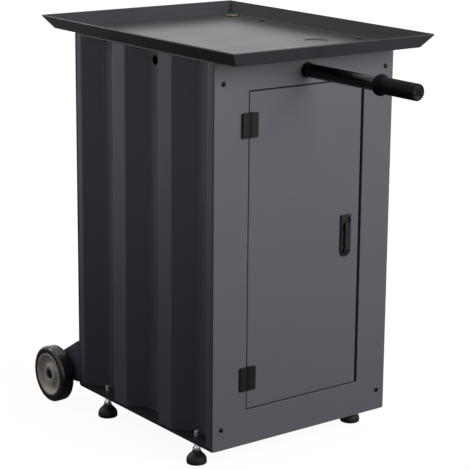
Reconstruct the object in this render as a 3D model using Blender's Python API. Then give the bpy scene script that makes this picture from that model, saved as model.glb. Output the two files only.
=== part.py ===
"""Mobile machine stand: a corrugated sheet-steel cabinet with a drip tray, a door, a pull-out handle,
two rear wheels and four levelling feet. Metres, +Z up, front towards -Y, standing on z = 0."""

import math

import bmesh
import bpy
from mathutils import Matrix, Vector

MM = 0.001

# Fits
SEAT_GAP = 0.3 * MM  # between two pieces that rest on each other
HOLE_CLEARANCE = 0.3 * MM  # on the radius of a screw, stud or pin in its hole
RUNNING_CLEARANCE = 0.25 * MM  # on the radius of a turning or sliding fit

# Cabinet
BODY_WIDTH = 440 * MM
BODY_DEPTH = 485 * MM
BODY_HEIGHT = 764 * MM  # base underside to tray underside
GROUND_CLEARANCE = 50 * MM  # floor to base underside
SHEET = 2 * MM
BASE_THICKNESS = 6 * MM
TOP_THICKNESS = 4 * MM
BEND_RADIUS = 4 * MM
PANEL_CORNER_RADIUS = 4 * MM

# Corrugated side panels
VALLEYS = 3
END_CREST = 20 * MM
CREST = 46 * MM
CORRUGATION_DEPTH = 33 * MM
SLOPE_RUN = 33 * MM
SIDE_FLANGE = 30 * MM
SIDE_HOLE_RADIUS = 9.5 * MM
SIDE_HOLE_DROP = 30 * MM  # tray underside down to the hole

# Tray
TRAY_SIDE_OVERHANG = 5 * MM  # cabinet side to the bend of the rim
TRAY_END_OVERHANG = 70.5 * MM  # cabinet front to the bend of the rim
TRAY_SHEET = 2 * MM
RIM_RISE = 26 * MM
RIM_FLARE = 20 * MM
RECESS_RADIUS = 26 * MM
RECESS_DEPTH = 3 * MM
RECESS_X = 110 * MM
RECESS_Y = -133 * MM
RECESS_MARGIN = 5 * MM  # clear of the pressed cup in the top plate

# Drain in the rear right corner of the tray
DRAIN_SIDE_INSET = 23 * MM
DRAIN_REAR_INSET = 45 * MM
DRAIN_BORE = 7 * MM
DRAIN_TAIL_RADIUS = 10 * MM
DRAIN_FLANGE_RADIUS = 16 * MM
DRAIN_FLANGE_THICKNESS = 2.5 * MM
DRAIN_TAIL = 38 * MM
DRAIN_BARB = 1.2 * MM
DRAIN_NUT_ACROSS_FLATS = 30 * MM
DRAIN_NUT_THICKNESS = 7 * MM

# Screws
TRAY_SCREW_RADIUS = 3 * MM
TRAY_SCREW_HEAD_RADIUS = 5.5 * MM
TRAY_SCREW_HEAD_HEIGHT = 3 * MM
TRAY_SCREW_REACH = 8 * MM  # below the top plate
PANEL_SCREW_RADIUS = 2.5 * MM
PANEL_SCREW_HEAD_RADIUS = 4.75 * MM
PANEL_SCREW_HEAD_HEIGHT = 2.8 * MM
PANEL_SCREW_REACH = 6 * MM  # behind the side panel's flange
PANEL_SCREW_SIDE_INSET = 20 * MM
PANEL_SCREW_END_INSET = 43 * MM
SOCKET_RADIUS = 1.9 * MM
SOCKET_DEPTH = 1.6 * MM

# Door and its opening
HINGE_STILE = 80.5 * MM  # cabinet side to the opening, left
LATCH_STILE = 74 * MM  # opening to the cabinet side, right
OPENING_SILL = 71 * MM  # base underside to the opening
OPENING_HEAD = 61 * MM  # opening to tray underside
JAMB_DEPTH = 20 * MM
HINGE_GAP = 1.5 * MM
LATCH_GAP = 6.5 * MM
DOOR_END_GAP = 2.5 * MM
DOOR_RETURN = 16 * MM
DOOR_EDGE_RADIUS = 1.5 * MM

# Hinges
HINGE_HEIGHT = 48 * MM
HINGE_INSET = 63 * MM  # door end to hinge middle
LEAF_WIDTH = 18.4 * MM  # axis to outer edge
LEAF_STANDOFF = 3 * MM  # axis to inner edge
LEAF_THICKNESS = 5 * MM
LEAF_CORNER_RADIUS = 2.5 * MM
KNUCKLE_RADIUS = 2.4 * MM
KNUCKLE_STANDOFF = 1.2 * MM
KNUCKLE_WEB = 3.2 * MM
KNUCKLE_SHARE = 0.42  # middle knuckle's part of the hinge height
KNUCKLE_GAP = 0.5 * MM
HINGE_PIN_RADIUS = 1.2 * MM
HINGE_PIN_HEAD_RADIUS = 2.1 * MM
HINGE_PIN_HEAD_HEIGHT = 1 * MM

# Latch
LATCH_INSET = 35.6 * MM  # door edge to spindle
LATCH_DROP = 28.3 * MM  # door middle down to spindle
HOUSING_WIDTH = 25.4 * MM
HOUSING_TOP = 72.3 * MM  # above the spindle
HOUSING_THICKNESS = 4.5 * MM
POCKET_WIDTH = 18.5 * MM
POCKET_HEIGHT = 24 * MM
POCKET_DEPTH = 3 * MM
POCKET_END_INSET = 5 * MM
SPINDLE_RADIUS = 5 * MM
SPINDLE_HEAD_RADIUS = 7.5 * MM
SPINDLE_HEAD_HEIGHT = 5 * MM
CAM_STUD_RADIUS = 3.5 * MM
CAM_STUD_SPARE = 1.5 * MM  # past the nut
LEVER_WIDTH = 12.5 * MM
LEVER_REACH = 57 * MM
LEVER_THICKNESS = 5 * MM
LEVER_TONGUE_WIDTH = 7 * MM
LEVER_TONGUE = 8.5 * MM  # spindle axis to the lever's shoulder
LEVER_PIN_RADIUS = 1.2 * MM
LEVER_PIN_RISE = 3.5 * MM  # spindle axis up to the pin
CAM_WIDTH = 16 * MM
CAM_LENGTH = 52 * MM
CAM_THICKNESS = 3 * MM
CAM_CLEARANCE = 3 * MM  # behind the jamb
CAM_NUT_ACROSS_FLATS = 11 * MM
CAM_NUT_THICKNESS = 5 * MM

# Pull-out handle
HANDLE_DROP = 33.5 * MM  # tray underside to tube axis
HANDLE_OUT = 310 * MM  # front panel to the end of the grip
TUBE_RADIUS = 13.5 * MM
TUBE_WALL = 2 * MM
GUIDE_REACH = 150 * MM  # front panel to the inner guide
GUIDE_WIDTH = 64 * MM
GUIDE_SHEET = 3 * MM
GUIDE_FOOT = 34 * MM
GUIDE_MARGIN = 12 * MM  # below the tube
BUSH_WALL = 2 * MM
BUSH_FLANGE = 4 * MM
BUSH_FLANGE_THICKNESS = 2.5 * MM
STOP_RING_WALL = 5 * MM
STOP_RING_LENGTH = 9 * MM
TUBE_TAIL = 6 * MM  # past the stop ring
GRIP_RADIUS = 15.8 * MM
GRIP_LENGTH = 107 * MM
GRIP_FLANGE_RADIUS = 20.5 * MM
GRIP_FLANGE = 20 * MM
GRIP_END = 5 * MM
GRIP_END_ROUND = 3 * MM
GRIP_DIMPLE_RADIUS = 5 * MM
GRIP_DIMPLE_DEPTH = 2 * MM

# Rear wheels
WHEEL_RADIUS = 61 * MM
WHEEL_WIDTH = 30 * MM
WHEEL_LIFT = 0.8 * MM  # floor to tyre, standing on the feet
WHEEL_BEHIND = 70.5 * MM  # back panel to axle
WHEEL_SHOULDER = 7 * MM
HUB_RADIUS = 46.2 * MM
HUB_RIM = 5 * MM
HUB_WEB = 6 * MM
HUB_DISH = 8 * MM
BOSS_RADIUS = 20 * MM
BOSS_SETBACK = 1.5 * MM
BOSS_RECESS_RADIUS = 11.6 * MM
BOSS_RECESS_DEPTH = 7.5 * MM
AXLE_RADIUS = 6 * MM
AXLE_HEAD_ACROSS_FLATS = 18 * MM
AXLE_HEAD_HEIGHT = 5.5 * MM
AXLE_NUT_ACROSS_FLATS = 19 * MM
AXLE_NUT_HEIGHT = 10 * MM
AXLE_SPARE = 3 * MM  # past the nut
SPACER_RADIUS = 12 * MM
SPACER_THICKNESS = 5.4 * MM
BRACKET_SHEET = 4 * MM
BRACKET_FLANGE = 40 * MM
BRACKET_BELOW_AXLE = 12 * MM
BRACKET_PAST_AXLE = 22 * MM
BRACKET_END_RISE = 32 * MM  # axle up to the end of the sloping edge
BRACKET_TOP_RISE = 87 * MM  # axle up to the top of the flange
BRACKET_CORNER_RADIUS = 10 * MM

# Levelling feet
FOOT_TO_WALL = 13 * MM  # valley wall out to the stud
PAD_RADIUS = 20.5 * MM
PAD_HEIGHT = 27 * MM
PAD_EDGE = 8 * MM
PAD_NECK_RADIUS = 9.5 * MM
STUD_RADIUS = 5 * MM
STUD_ABOVE_BASE = 12 * MM
STUD_IN_PAD = 15 * MM
COLLAR_ACROSS_FLATS = 15 * MM
COLLAR_HEIGHT = 5 * MM
LOCK_NUT_ACROSS_FLATS = 17 * MM
LOCK_NUT_HEIGHT = 7 * MM

# Facets
WHEEL_SEGMENTS = 28
ROUND_SEGMENTS = 26
SMALL_SEGMENTS = 16
SCREW_SEGMENTS = 12
BEND_STEPS = 2
HALF_ROUND_STEPS = 12

# Levels and planes that the sizes above set
BASE_TOP = GROUND_CLEARANCE + BASE_THICKNESS
TRAY_UNDERSIDE = GROUND_CLEARANCE + BODY_HEIGHT
TRAY_FLOOR = TRAY_UNDERSIDE + TRAY_SHEET
TOP_PLATE_TOP = TRAY_UNDERSIDE - SEAT_GAP
TOP_PLATE_LOW = TOP_PLATE_TOP - TOP_THICKNESS
WALL_LOW = BASE_TOP + SEAT_GAP
WALL_HIGH = TOP_PLATE_LOW - SEAT_GAP
HALF_WIDTH = BODY_WIDTH / 2
FRONT_FACE = -BODY_DEPTH / 2
BACK_FACE = BODY_DEPTH / 2
FRAME_FRONT = FRONT_FACE + SHEET + SEAT_GAP
FRAME_BACK = BACK_FACE - SHEET - SEAT_GAP
VALLEY = (FRAME_BACK - FRAME_FRONT - 2 * END_CREST - (VALLEYS - 1) * CREST) / VALLEYS
VALLEY_WALL = HALF_WIDTH - CORRUGATION_DEPTH
FOOT_X = VALLEY_WALL + FOOT_TO_WALL
FOOT_Y = FRAME_BACK - END_CREST - VALLEY / 2
TRAY_WIDTH = BODY_WIDTH + 2 * TRAY_SIDE_OVERHANG
TRAY_DEPTH = BODY_DEPTH + 2 * TRAY_END_OVERHANG
OPENING_LEFT = HINGE_STILE - HALF_WIDTH
OPENING_RIGHT = HALF_WIDTH - LATCH_STILE
OPENING_LOW = GROUND_CLEARANCE + OPENING_SILL
OPENING_HIGH = TRAY_UNDERSIDE - OPENING_HEAD
DOOR_LEFT = OPENING_LEFT + HINGE_GAP
DOOR_RIGHT = OPENING_RIGHT - LATCH_GAP
DOOR_LOW = OPENING_LOW + DOOR_END_GAP
DOOR_HIGH = OPENING_HIGH - DOOR_END_GAP
HINGE_X = OPENING_LEFT + HINGE_GAP / 2
HINGE_Y = FRONT_FACE - KNUCKLE_STANDOFF - KNUCKLE_RADIUS
HINGE_LEVELS = {"upper": DOOR_HIGH - HINGE_INSET, "lower": DOOR_LOW + HINGE_INSET}
LATCH_X = DOOR_RIGHT - LATCH_INSET
LATCH_Z = (DOOR_LOW + DOOR_HIGH) / 2 - LATCH_DROP
HOUSING_BACK = FRONT_FACE - SEAT_GAP
HOUSING_FRONT = HOUSING_BACK - HOUSING_THICKNESS
LEVER_BACK = HOUSING_FRONT - SEAT_GAP
LEVER_FRONT = LEVER_BACK - LEVER_THICKNESS
LEVER_PIN_Y = (LEVER_BACK + LEVER_FRONT) / 2
LEVER_PIN_Z = LATCH_Z + LEVER_PIN_RISE
CAM_FRONT = FRONT_FACE + max(JAMB_DEPTH, DOOR_RETURN) + CAM_CLEARANCE
CAM_BACK = CAM_FRONT + CAM_THICKNESS
HANDLE_Z = TRAY_UNDERSIDE - HANDLE_DROP
HANDLE_END = FRONT_FACE - HANDLE_OUT
GRIP_INNER = HANDLE_END + GRIP_LENGTH
GUIDE_FRONT = FRONT_FACE + GUIDE_REACH
GUIDE_BACK = GUIDE_FRONT + GUIDE_SHEET
STOP_RING_FRONT = GUIDE_BACK + SEAT_GAP
STOP_RING_BACK = STOP_RING_FRONT + STOP_RING_LENGTH
BUSH_RADIUS = TUBE_RADIUS + RUNNING_CLEARANCE + BUSH_WALL
AXLE_Y = BACK_FACE + WHEEL_BEHIND
AXLE_Z = WHEEL_RADIUS + WHEEL_LIFT
WHEEL_INNER = HALF_WIDTH + SPACER_THICKNESS + 2 * SEAT_GAP
WHEEL_OUTER = WHEEL_INNER + WHEEL_WIDTH
DRAIN_X = TRAY_WIDTH / 2 - DRAIN_SIDE_INSET
DRAIN_Y = TRAY_DEPTH / 2 - DRAIN_REAR_INSET
COLLAR_LOW = PAD_HEIGHT + SEAT_GAP
REAR_REACH = max(AXLE_Y + WHEEL_RADIUS, TRAY_DEPTH / 2 + RIM_FLARE)

# Joint axes, in cabinet coordinates: x and y from the middle of the cabinet, z from the floor
ROOT = "machine_stand"
PIVOTS = {ROOT: Vector((0, 0, 0))}


def clear_scene():
    """Removes whatever the scene holds."""
    for leftover in list(bpy.data.objects):
        bpy.data.objects.remove(leftover, do_unlink=True)


def add_pivot(name, position, parent):
    """Adds an empty on a joint's axis, at a place in cabinet coordinates."""
    empty = bpy.data.objects.new(name, None)
    empty.empty_display_size = 20 * MM
    bpy.context.scene.collection.objects.link(empty)
    PIVOTS[name] = Vector(position)
    empty.parent = bpy.data.objects[parent]
    empty.location = PIVOTS[name] - PIVOTS[parent]


def finish(name, color, roughness, metallic=0.0):
    """Makes one finish: a plain surface with the piece's colour."""
    material = bpy.data.materials.new(name)
    material.use_nodes = True
    shader = material.node_tree.nodes["Principled BSDF"]
    shader.inputs["Base Color"].default_value = (*color, 1)
    shader.inputs["Roughness"].default_value = roughness
    shader.inputs["Metallic"].default_value = metallic
    material.diffuse_color = (*color, 1)
    return material


def add_object(name, shape, pivot):
    """Turns a closed shape in cabinet coordinates into an object whose origin is on its pivot."""
    bmesh.ops.recalc_face_normals(shape, faces=shape.faces)
    shape.transform(Matrix.Translation(-PIVOTS[pivot]))
    mesh = bpy.data.meshes.new(name)
    shape.to_mesh(mesh)
    shape.free()
    piece = bpy.data.objects.new(name, mesh)
    bpy.context.scene.collection.objects.link(piece)
    piece.parent = bpy.data.objects[pivot]
    return piece


def add_piece(name, shape, material, pivot=ROOT):
    """Adds one sub-part of the stand."""
    piece = add_object(name, shape, pivot)
    piece.data.materials.append(material)
    piece.data.shade_smooth()
    piece.data.set_sharp_from_angle(angle=math.radians(35))
    return piece


def combine(piece, shape, operation, pivot=ROOT):
    """Joins a hidden shape to a piece, or cuts it away."""
    number = len(piece.modifiers) + 1
    helper = add_object(f"{piece.name}_{operation.lower()}_{number}", shape, pivot)
    helper.hide_render = True
    helper.display_type = "WIRE"
    modifier = piece.modifiers.new(f"{operation.lower()} {number}", "BOOLEAN")
    modifier.operation = operation
    modifier.object = helper


def add_sheet(name, shape, thickness, inside, material, pivot=ROOT):
    """Adds a sub-part folded from sheet, which grows by its thickness towards an inside point."""
    piece = add_piece(name, shape, material, pivot)
    target = Vector(inside) - PIVOTS[pivot]
    facing = sum(face.area * face.normal.dot(target - face.center) for face in piece.data.polygons)
    modifier = piece.modifiers.new("sheet", "SOLIDIFY")
    modifier.thickness = thickness
    modifier.offset = 1 if facing > 0 else -1
    modifier.use_even_offset = True
    return piece


def filleted(points, radius, closed=False):
    """Rounds the corners of a path of (a, b) points with arcs."""
    count = len(points)
    rounded = []
    for index, point in enumerate(points):
        corner = Vector(point)
        if not closed and index in (0, count - 1):
            rounded.append(tuple(corner))
            continue
        before = (Vector(points[index - 1]) - corner).normalized()
        after = (Vector(points[(index + 1) % count]) - corner).normalized()
        half = before.angle(after) / 2
        setback = radius / math.tan(half)
        centre = corner + (before + after).normalized() * radius / math.sin(half)
        start = corner + before * setback - centre
        sweep = start.angle_signed(corner + after * setback - centre)
        for step in range(BEND_STEPS + 1):
            turned = start.copy()
            turned.rotate(Matrix.Rotation(-sweep * step / BEND_STEPS, 2))
            rounded.append(tuple(centre + turned))
    return rounded


def arc(centre, radius, first, last, steps):
    """Points on an arc of (a, b), from one angle to another in degrees."""
    angles = [math.radians(first + (last - first) * step / steps) for step in range(steps + 1)]
    return [(centre[0] + radius * math.cos(angle), centre[1] + radius * math.sin(angle)) for angle in angles]


def lifted(axis, a, b, level):
    """The point whose coordinate along an axis is level, with a and b along the other two in order."""
    coordinates = [a, b]
    coordinates.insert("XYZ".index(axis), level)
    return coordinates


def box(low, high):
    """A block between two corners."""
    shape = bmesh.new()
    middle = [(a + b) / 2 for a, b in zip(low, high)]
    size = [b - a for a, b in zip(low, high)]
    place = Matrix.Translation(middle) @ Matrix.Diagonal((*size, 1))
    bmesh.ops.create_cube(shape, size=1, matrix=place)
    return shape


def prism(axis, outline, low, high):
    """A closed outline of (a, b) points drawn out along an axis."""
    shape = bmesh.new()
    face = shape.faces.new([shape.verts.new(lifted(axis, a, b, low)) for a, b in outline])
    drawn = bmesh.ops.extrude_face_region(shape, geom=[face])["geom"]
    moved = [part for part in drawn if isinstance(part, bmesh.types.BMVert)]
    bmesh.ops.translate(shape, verts=moved, vec=lifted(axis, 0, 0, high - low))
    return shape


def strip(axis, path, low, high):
    """A surface: an open path of (a, b) points drawn out along an axis."""
    shape = bmesh.new()
    corners = [shape.verts.new(lifted(axis, a, b, low)) for a, b in path]
    edges = [shape.edges.new(pair) for pair in zip(corners, corners[1:])]
    drawn = bmesh.ops.extrude_edge_only(shape, edges=edges)["geom"]
    moved = [part for part in drawn if isinstance(part, bmesh.types.BMVert)]
    bmesh.ops.translate(shape, verts=moved, vec=lifted(axis, 0, 0, high - low))
    return shape


def turned(axis, centre, profile, segments):
    """A profile of (radius, level) points spun about an axis, closed on itself or on the axis."""
    shape = bmesh.new()
    points = [shape.verts.new(Vector((radius, 0, level))) for radius, level in profile]
    pairs = list(zip(points, points[1:]))
    if profile[0][0] > 0 or profile[-1][0] > 0:
        pairs.append((points[-1], points[0]))
    edges = [shape.edges.new(pair) for pair in pairs]
    bmesh.ops.spin(
        shape, geom=points + edges, cent=(0, 0, 0), axis=(0, 0, 1), angle=math.tau, steps=segments,
    )
    bmesh.ops.remove_doubles(shape, verts=shape.verts, dist=0.001 * MM)
    direction = Vector(lifted(axis, 0, 0, 1))
    turn = Vector((0, 0, 1)).rotation_difference(direction).to_matrix().to_4x4()
    shape.transform(Matrix.Translation(centre) @ turn)
    return shape


def rod(axis, centre, radius, low, high, segments=SMALL_SEGMENTS):
    """A solid round bar about an axis, between two levels along it."""
    profile = [(0, low), (radius, low), (radius, high), (0, high)]
    return turned(axis, lifted(axis, *centre, 0), profile, segments)


def tube(axis, centre, inner, outer, low, high, segments=ROUND_SEGMENTS):
    """A hollow round bar about an axis, between two levels along it."""
    profile = [(inner, low), (outer, low), (outer, high), (inner, high)]
    return turned(axis, lifted(axis, *centre, 0), profile, segments)


def hexagon(axis, centre, across_flats, low, high):
    """A six-sided bar about an axis."""
    radius = across_flats / math.sqrt(3)
    return prism(axis, arc(centre, radius, 0, 300, 5), low, high)


def base_plate(paint):
    """Thick plate under the cabinet, drilled for the four foot studs."""
    plate = add_piece(
        "base_plate",
        box((-HALF_WIDTH, FRAME_FRONT, GROUND_CLEARANCE), (HALF_WIDTH, FRAME_BACK, BASE_TOP)),
        paint,
    )
    for x in (-FOOT_X, FOOT_X):
        for y in (-FOOT_Y, FOOT_Y):
            hole = rod("Z", (x, y), STUD_RADIUS + HOLE_CLEARANCE, GROUND_CLEARANCE - SHEET, BASE_TOP + SHEET)
            combine(plate, hole, "DIFFERENCE")


def top_plate(paint):
    """Plate that closes the cabinet under the tray."""
    plate = add_piece(
        "top_plate",
        box((-HALF_WIDTH, FRAME_FRONT, TOP_PLATE_LOW), (HALF_WIDTH, FRAME_BACK, TOP_PLATE_TOP)),
        paint,
    )
    low, high = TOP_PLATE_LOW - SHEET, TOP_PLATE_TOP + SHEET
    for x in (-FOOT_X, FOOT_X):
        for y in (-FOOT_Y, FOOT_Y):
            combine(plate, rod("Z", (x, y), TRAY_SCREW_RADIUS + HOLE_CLEARANCE, low, high), "DIFFERENCE")
    cup_radius = RECESS_RADIUS + TRAY_SHEET + RECESS_MARGIN
    cup = rod("Z", (RECESS_X, RECESS_Y), cup_radius, low, high, ROUND_SEGMENTS)
    combine(plate, cup, "DIFFERENCE")


def corrugated_path():
    """Outer face of a side panel seen from above, as (outward distance, y), front flange to rear flange."""
    path = [(HALF_WIDTH - SIDE_FLANGE, FRAME_FRONT), (HALF_WIDTH, FRAME_FRONT)]
    start = FRAME_FRONT + END_CREST
    for _ in range(VALLEYS):
        path.append((HALF_WIDTH, start))
        path.append((VALLEY_WALL, start + SLOPE_RUN))
        path.append((VALLEY_WALL, start + VALLEY - SLOPE_RUN))
        path.append((HALF_WIDTH, start + VALLEY))
        start += VALLEY + CREST
    path += [(HALF_WIDTH, FRAME_BACK), (HALF_WIDTH - SIDE_FLANGE, FRAME_BACK)]
    return filleted(path, BEND_RADIUS)


def side_panel(side, sign, paint):
    """Corrugated wall with a flange at each end and a round hole high in its middle valley."""
    path = [(sign * outward, y) for outward, y in corrugated_path()]
    panel = add_sheet(f"{side}_side_panel", strip("Z", path, WALL_LOW, WALL_HIGH), SHEET, (0, 0, 0), paint)
    low, high = sorted((sign * (VALLEY_WALL - 5 * SHEET), sign * (VALLEY_WALL + 5 * SHEET)))
    hole = rod("X", (0, TRAY_UNDERSIDE - SIDE_HOLE_DROP), SIDE_HOLE_RADIUS, low, high, ROUND_SEGMENTS)
    combine(panel, hole, "DIFFERENCE")
    for x, z in panel_screw_places(sign):
        screw_hole = rod(
            "Y", (x, z), PANEL_SCREW_RADIUS + HOLE_CLEARANCE, FRAME_FRONT - SHEET, FRAME_FRONT + 3 * SHEET,
        )
        combine(panel, screw_hole, "DIFFERENCE")


def panel_screw_places(sign):
    """Places of the two front-panel screws on one side, as (x, z)."""
    x = sign * (HALF_WIDTH - PANEL_SCREW_SIDE_INSET)
    low = GROUND_CLEARANCE + PANEL_SCREW_END_INSET
    high = TRAY_UNDERSIDE - PANEL_SCREW_END_INSET
    return [(x, low), (x, high)]


def back_panel(paint):
    """Flat rear wall with rounded corners."""
    outline = rounded_rectangle(-HALF_WIDTH, HALF_WIDTH, GROUND_CLEARANCE, TOP_PLATE_TOP, PANEL_CORNER_RADIUS)
    add_piece("back_panel", prism("Y", outline, BACK_FACE - SHEET, BACK_FACE), paint)


def rounded_rectangle(left, right, low, high, radius):
    """Outline of a rectangle with rounded corners."""
    return filleted([(left, low), (right, low), (right, high), (left, high)], radius, closed=True)


def front_panel(paint):
    """Front wall with a returned door opening, a handle hole and four screw holes."""
    outline = rounded_rectangle(-HALF_WIDTH, HALF_WIDTH, GROUND_CLEARANCE, TOP_PLATE_TOP, PANEL_CORNER_RADIUS)
    panel = add_piece("front_panel", prism("Y", outline, FRONT_FACE, FRONT_FACE + SHEET), paint)
    left, right = OPENING_LEFT, OPENING_RIGHT
    jamb = box(
        (left - SHEET, FRONT_FACE + SHEET / 2, OPENING_LOW - SHEET),
        (right + SHEET, FRONT_FACE + JAMB_DEPTH, OPENING_HIGH + SHEET),
    )
    combine(panel, jamb, "UNION")
    opening = box(
        (left, FRONT_FACE - JAMB_DEPTH, OPENING_LOW), (right, FRONT_FACE + 2 * JAMB_DEPTH, OPENING_HIGH),
    )
    combine(panel, opening, "DIFFERENCE")
    past_sheet = (FRONT_FACE - SHEET, FRONT_FACE + 2 * SHEET)
    handle_hole = rod("Y", (0, HANDLE_Z), BUSH_RADIUS + SEAT_GAP, *past_sheet, ROUND_SEGMENTS)
    combine(panel, handle_hole, "DIFFERENCE")
    for x, z in panel_screw_places(-1) + panel_screw_places(1):
        combine(panel, rod("Y", (x, z), PANEL_SCREW_RADIUS + HOLE_CLEARANCE, *past_sheet), "DIFFERENCE")


def button_screw(name, axis, centre, seat, out, sizes, material):
    """Button-head screw: its head stands on seat, on the out side, and its shank runs the other way."""
    radius, head_radius, head_height, length = sizes
    crown = head_radius * 0.6
    profile = [
        (0, -length), (radius, -length), (radius, 0), (head_radius, 0), (head_radius, head_height * 0.35),
        (crown, head_height), (SOCKET_RADIUS, head_height), (SOCKET_RADIUS, head_height - SOCKET_DEPTH),
        (0, head_height - SOCKET_DEPTH),
    ]
    profile = [(r, seat + out * level) for r, level in profile]
    add_piece(name, turned(axis, lifted(axis, *centre, 0), profile, SCREW_SEGMENTS), material)


def front_panel_screws(steel):
    """Four screws that hold the front panel to the side panels' flanges."""
    length = 2 * SHEET + 2 * SEAT_GAP + PANEL_SCREW_REACH
    sizes = (PANEL_SCREW_RADIUS, PANEL_SCREW_HEAD_RADIUS, PANEL_SCREW_HEAD_HEIGHT, length)
    for side, sign in (("left", -1), ("right", 1)):
        for level, place in zip(("lower", "upper"), panel_screw_places(sign)):
            name = f"front_panel_screw_{level}_{side}"
            button_screw(name, "Y", place, FRONT_FACE - SEAT_GAP, -1, sizes, steel)


def tray(paint):
    """Drip tray: a flat floor with a flared, mitred rim, a pressed round recess and a drain hole."""
    slope = math.atan2(RIM_RISE, RIM_FLARE)
    top = TRAY_UNDERSIDE + RIM_RISE
    levels = [
        (0, TRAY_UNDERSIDE), (RIM_FLARE, top),
        (RIM_FLARE - TRAY_SHEET * math.sin(slope), top + TRAY_SHEET * math.cos(slope)),
        (-TRAY_SHEET * math.tan(slope / 2), TRAY_FLOOR),
    ]
    shape = bmesh.new()
    rings = []
    for out, level in levels:
        x, y = TRAY_WIDTH / 2 + out, TRAY_DEPTH / 2 + out
        corners = [(-x, -y), (x, -y), (x, y), (-x, y)]
        rings.append([shape.verts.new((*corner, level)) for corner in corners])
    shape.faces.new(rings[0])
    shape.faces.new(rings[-1])
    for lower, upper in zip(rings, rings[1:]):
        for index in range(4):
            following = (index + 1) % 4
            shape.faces.new((lower[index], upper[index], upper[following], lower[following]))
    piece = add_piece("tray", shape, paint)
    recess = (RECESS_X, RECESS_Y)
    cup_low = TRAY_FLOOR - RECESS_DEPTH - TRAY_SHEET
    cup = rod(
        "Z", recess, RECESS_RADIUS + TRAY_SHEET, cup_low, TRAY_FLOOR - TRAY_SHEET / 2, ROUND_SEGMENTS,
    )
    combine(piece, cup, "UNION")
    hollow = rod("Z", recess, RECESS_RADIUS, TRAY_FLOOR - RECESS_DEPTH, TRAY_FLOOR + RIM_RISE, ROUND_SEGMENTS)
    combine(piece, hollow, "DIFFERENCE")
    through = (TRAY_UNDERSIDE - TRAY_SHEET, TRAY_FLOOR + TRAY_SHEET)
    drain = rod("Z", (DRAIN_X, DRAIN_Y), DRAIN_TAIL_RADIUS + HOLE_CLEARANCE, *through, ROUND_SEGMENTS)
    combine(piece, drain, "DIFFERENCE")
    for place in tray_screw_places().values():
        combine(piece, rod("Z", place, TRAY_SCREW_RADIUS + HOLE_CLEARANCE, *through), "DIFFERENCE")


def tray_screw_places():
    """Places of the tray's screws, over the end valleys as the feet are under them."""
    return {
        "front_left": (-FOOT_X, -FOOT_Y), "front_right": (FOOT_X, -FOOT_Y),
        "rear_left": (-FOOT_X, FOOT_Y), "rear_right": (FOOT_X, FOOT_Y),
    }


def tray_screws(steel):
    """Four screws that hold the tray down on the top plate."""
    length = TRAY_SHEET + TOP_THICKNESS + 2 * SEAT_GAP + TRAY_SCREW_REACH
    sizes = (TRAY_SCREW_RADIUS, TRAY_SCREW_HEAD_RADIUS, TRAY_SCREW_HEAD_HEIGHT, length)
    for corner, place in tray_screw_places().items():
        button_screw(f"tray_screw_{corner}", "Z", place, TRAY_FLOOR + SEAT_GAP, 1, sizes, steel)


def drain(brass):
    """Flanged drain with a barbed hose tail, and the nut that clamps it under the tray."""
    top = TRAY_FLOOR + SEAT_GAP + DRAIN_FLANGE_THICKNESS
    low = TRAY_FLOOR - DRAIN_TAIL
    nut_high = TRAY_UNDERSIDE - SEAT_GAP
    nut_low = nut_high - DRAIN_NUT_THICKNESS
    barb_step = (nut_low - low) / 3
    outer = DRAIN_TAIL_RADIUS
    profile = [(DRAIN_BORE, low), (outer - 2 * DRAIN_BARB, low)]
    for barb in (1, 2):
        level = low + barb * barb_step
        profile += [(outer, level), (outer - DRAIN_BARB, level)]
    profile += [
        (outer - DRAIN_BARB, nut_low - SEAT_GAP), (outer, nut_low - SEAT_GAP), (outer, TRAY_FLOOR + SEAT_GAP),
        (DRAIN_FLANGE_RADIUS, TRAY_FLOOR + SEAT_GAP), (DRAIN_FLANGE_RADIUS, top - DRAIN_FLANGE_THICKNESS / 2),
        (DRAIN_FLANGE_RADIUS - DRAIN_FLANGE_THICKNESS / 2, top), (DRAIN_BORE, top),
    ]
    place = (DRAIN_X, DRAIN_Y)
    add_piece("drain_fitting", turned("Z", (*place, 0), profile, SMALL_SEGMENTS), brass)
    nut = add_piece("drain_nut", hexagon("Z", place, DRAIN_NUT_ACROSS_FLATS, nut_low, nut_high), brass)
    hole = rod("Z", place, outer + HOLE_CLEARANCE, nut_low - SHEET, nut_high + SHEET, ROUND_SEGMENTS)
    combine(nut, hole, "DIFFERENCE")


def door(paint):
    """Door pan: a flat front with its four edges returned backwards, and a hole for the latch spindle."""
    shape = box((DOOR_LEFT, FRONT_FACE, DOOR_LOW), (DOOR_RIGHT, FRONT_FACE + DOOR_RETURN, DOOR_HIGH))
    back = max(shape.faces, key=lambda face: face.calc_center_median().y)
    bmesh.ops.delete(shape, geom=[back], context="FACES_ONLY")
    folds = [edge for edge in shape.edges if not edge.is_boundary]
    bmesh.ops.bevel(
        shape, geom=folds, offset=DOOR_EDGE_RADIUS, segments=2, profile=0.5, affect="EDGES",
        clamp_overlap=True,
    )
    inside = ((DOOR_LEFT + DOOR_RIGHT) / 2, FRONT_FACE + DOOR_RETURN, (DOOR_LOW + DOOR_HIGH) / 2)
    pan = add_sheet("door", shape, SHEET, inside, paint, "door_axis")
    through = (FRONT_FACE - SHEET, FRONT_FACE + 2 * SHEET)
    hole = rod("Y", (LATCH_X, LATCH_Z), SPINDLE_RADIUS + HOLE_CLEARANCE, *through)
    combine(pan, hole, "DIFFERENCE", "door_axis")


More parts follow.
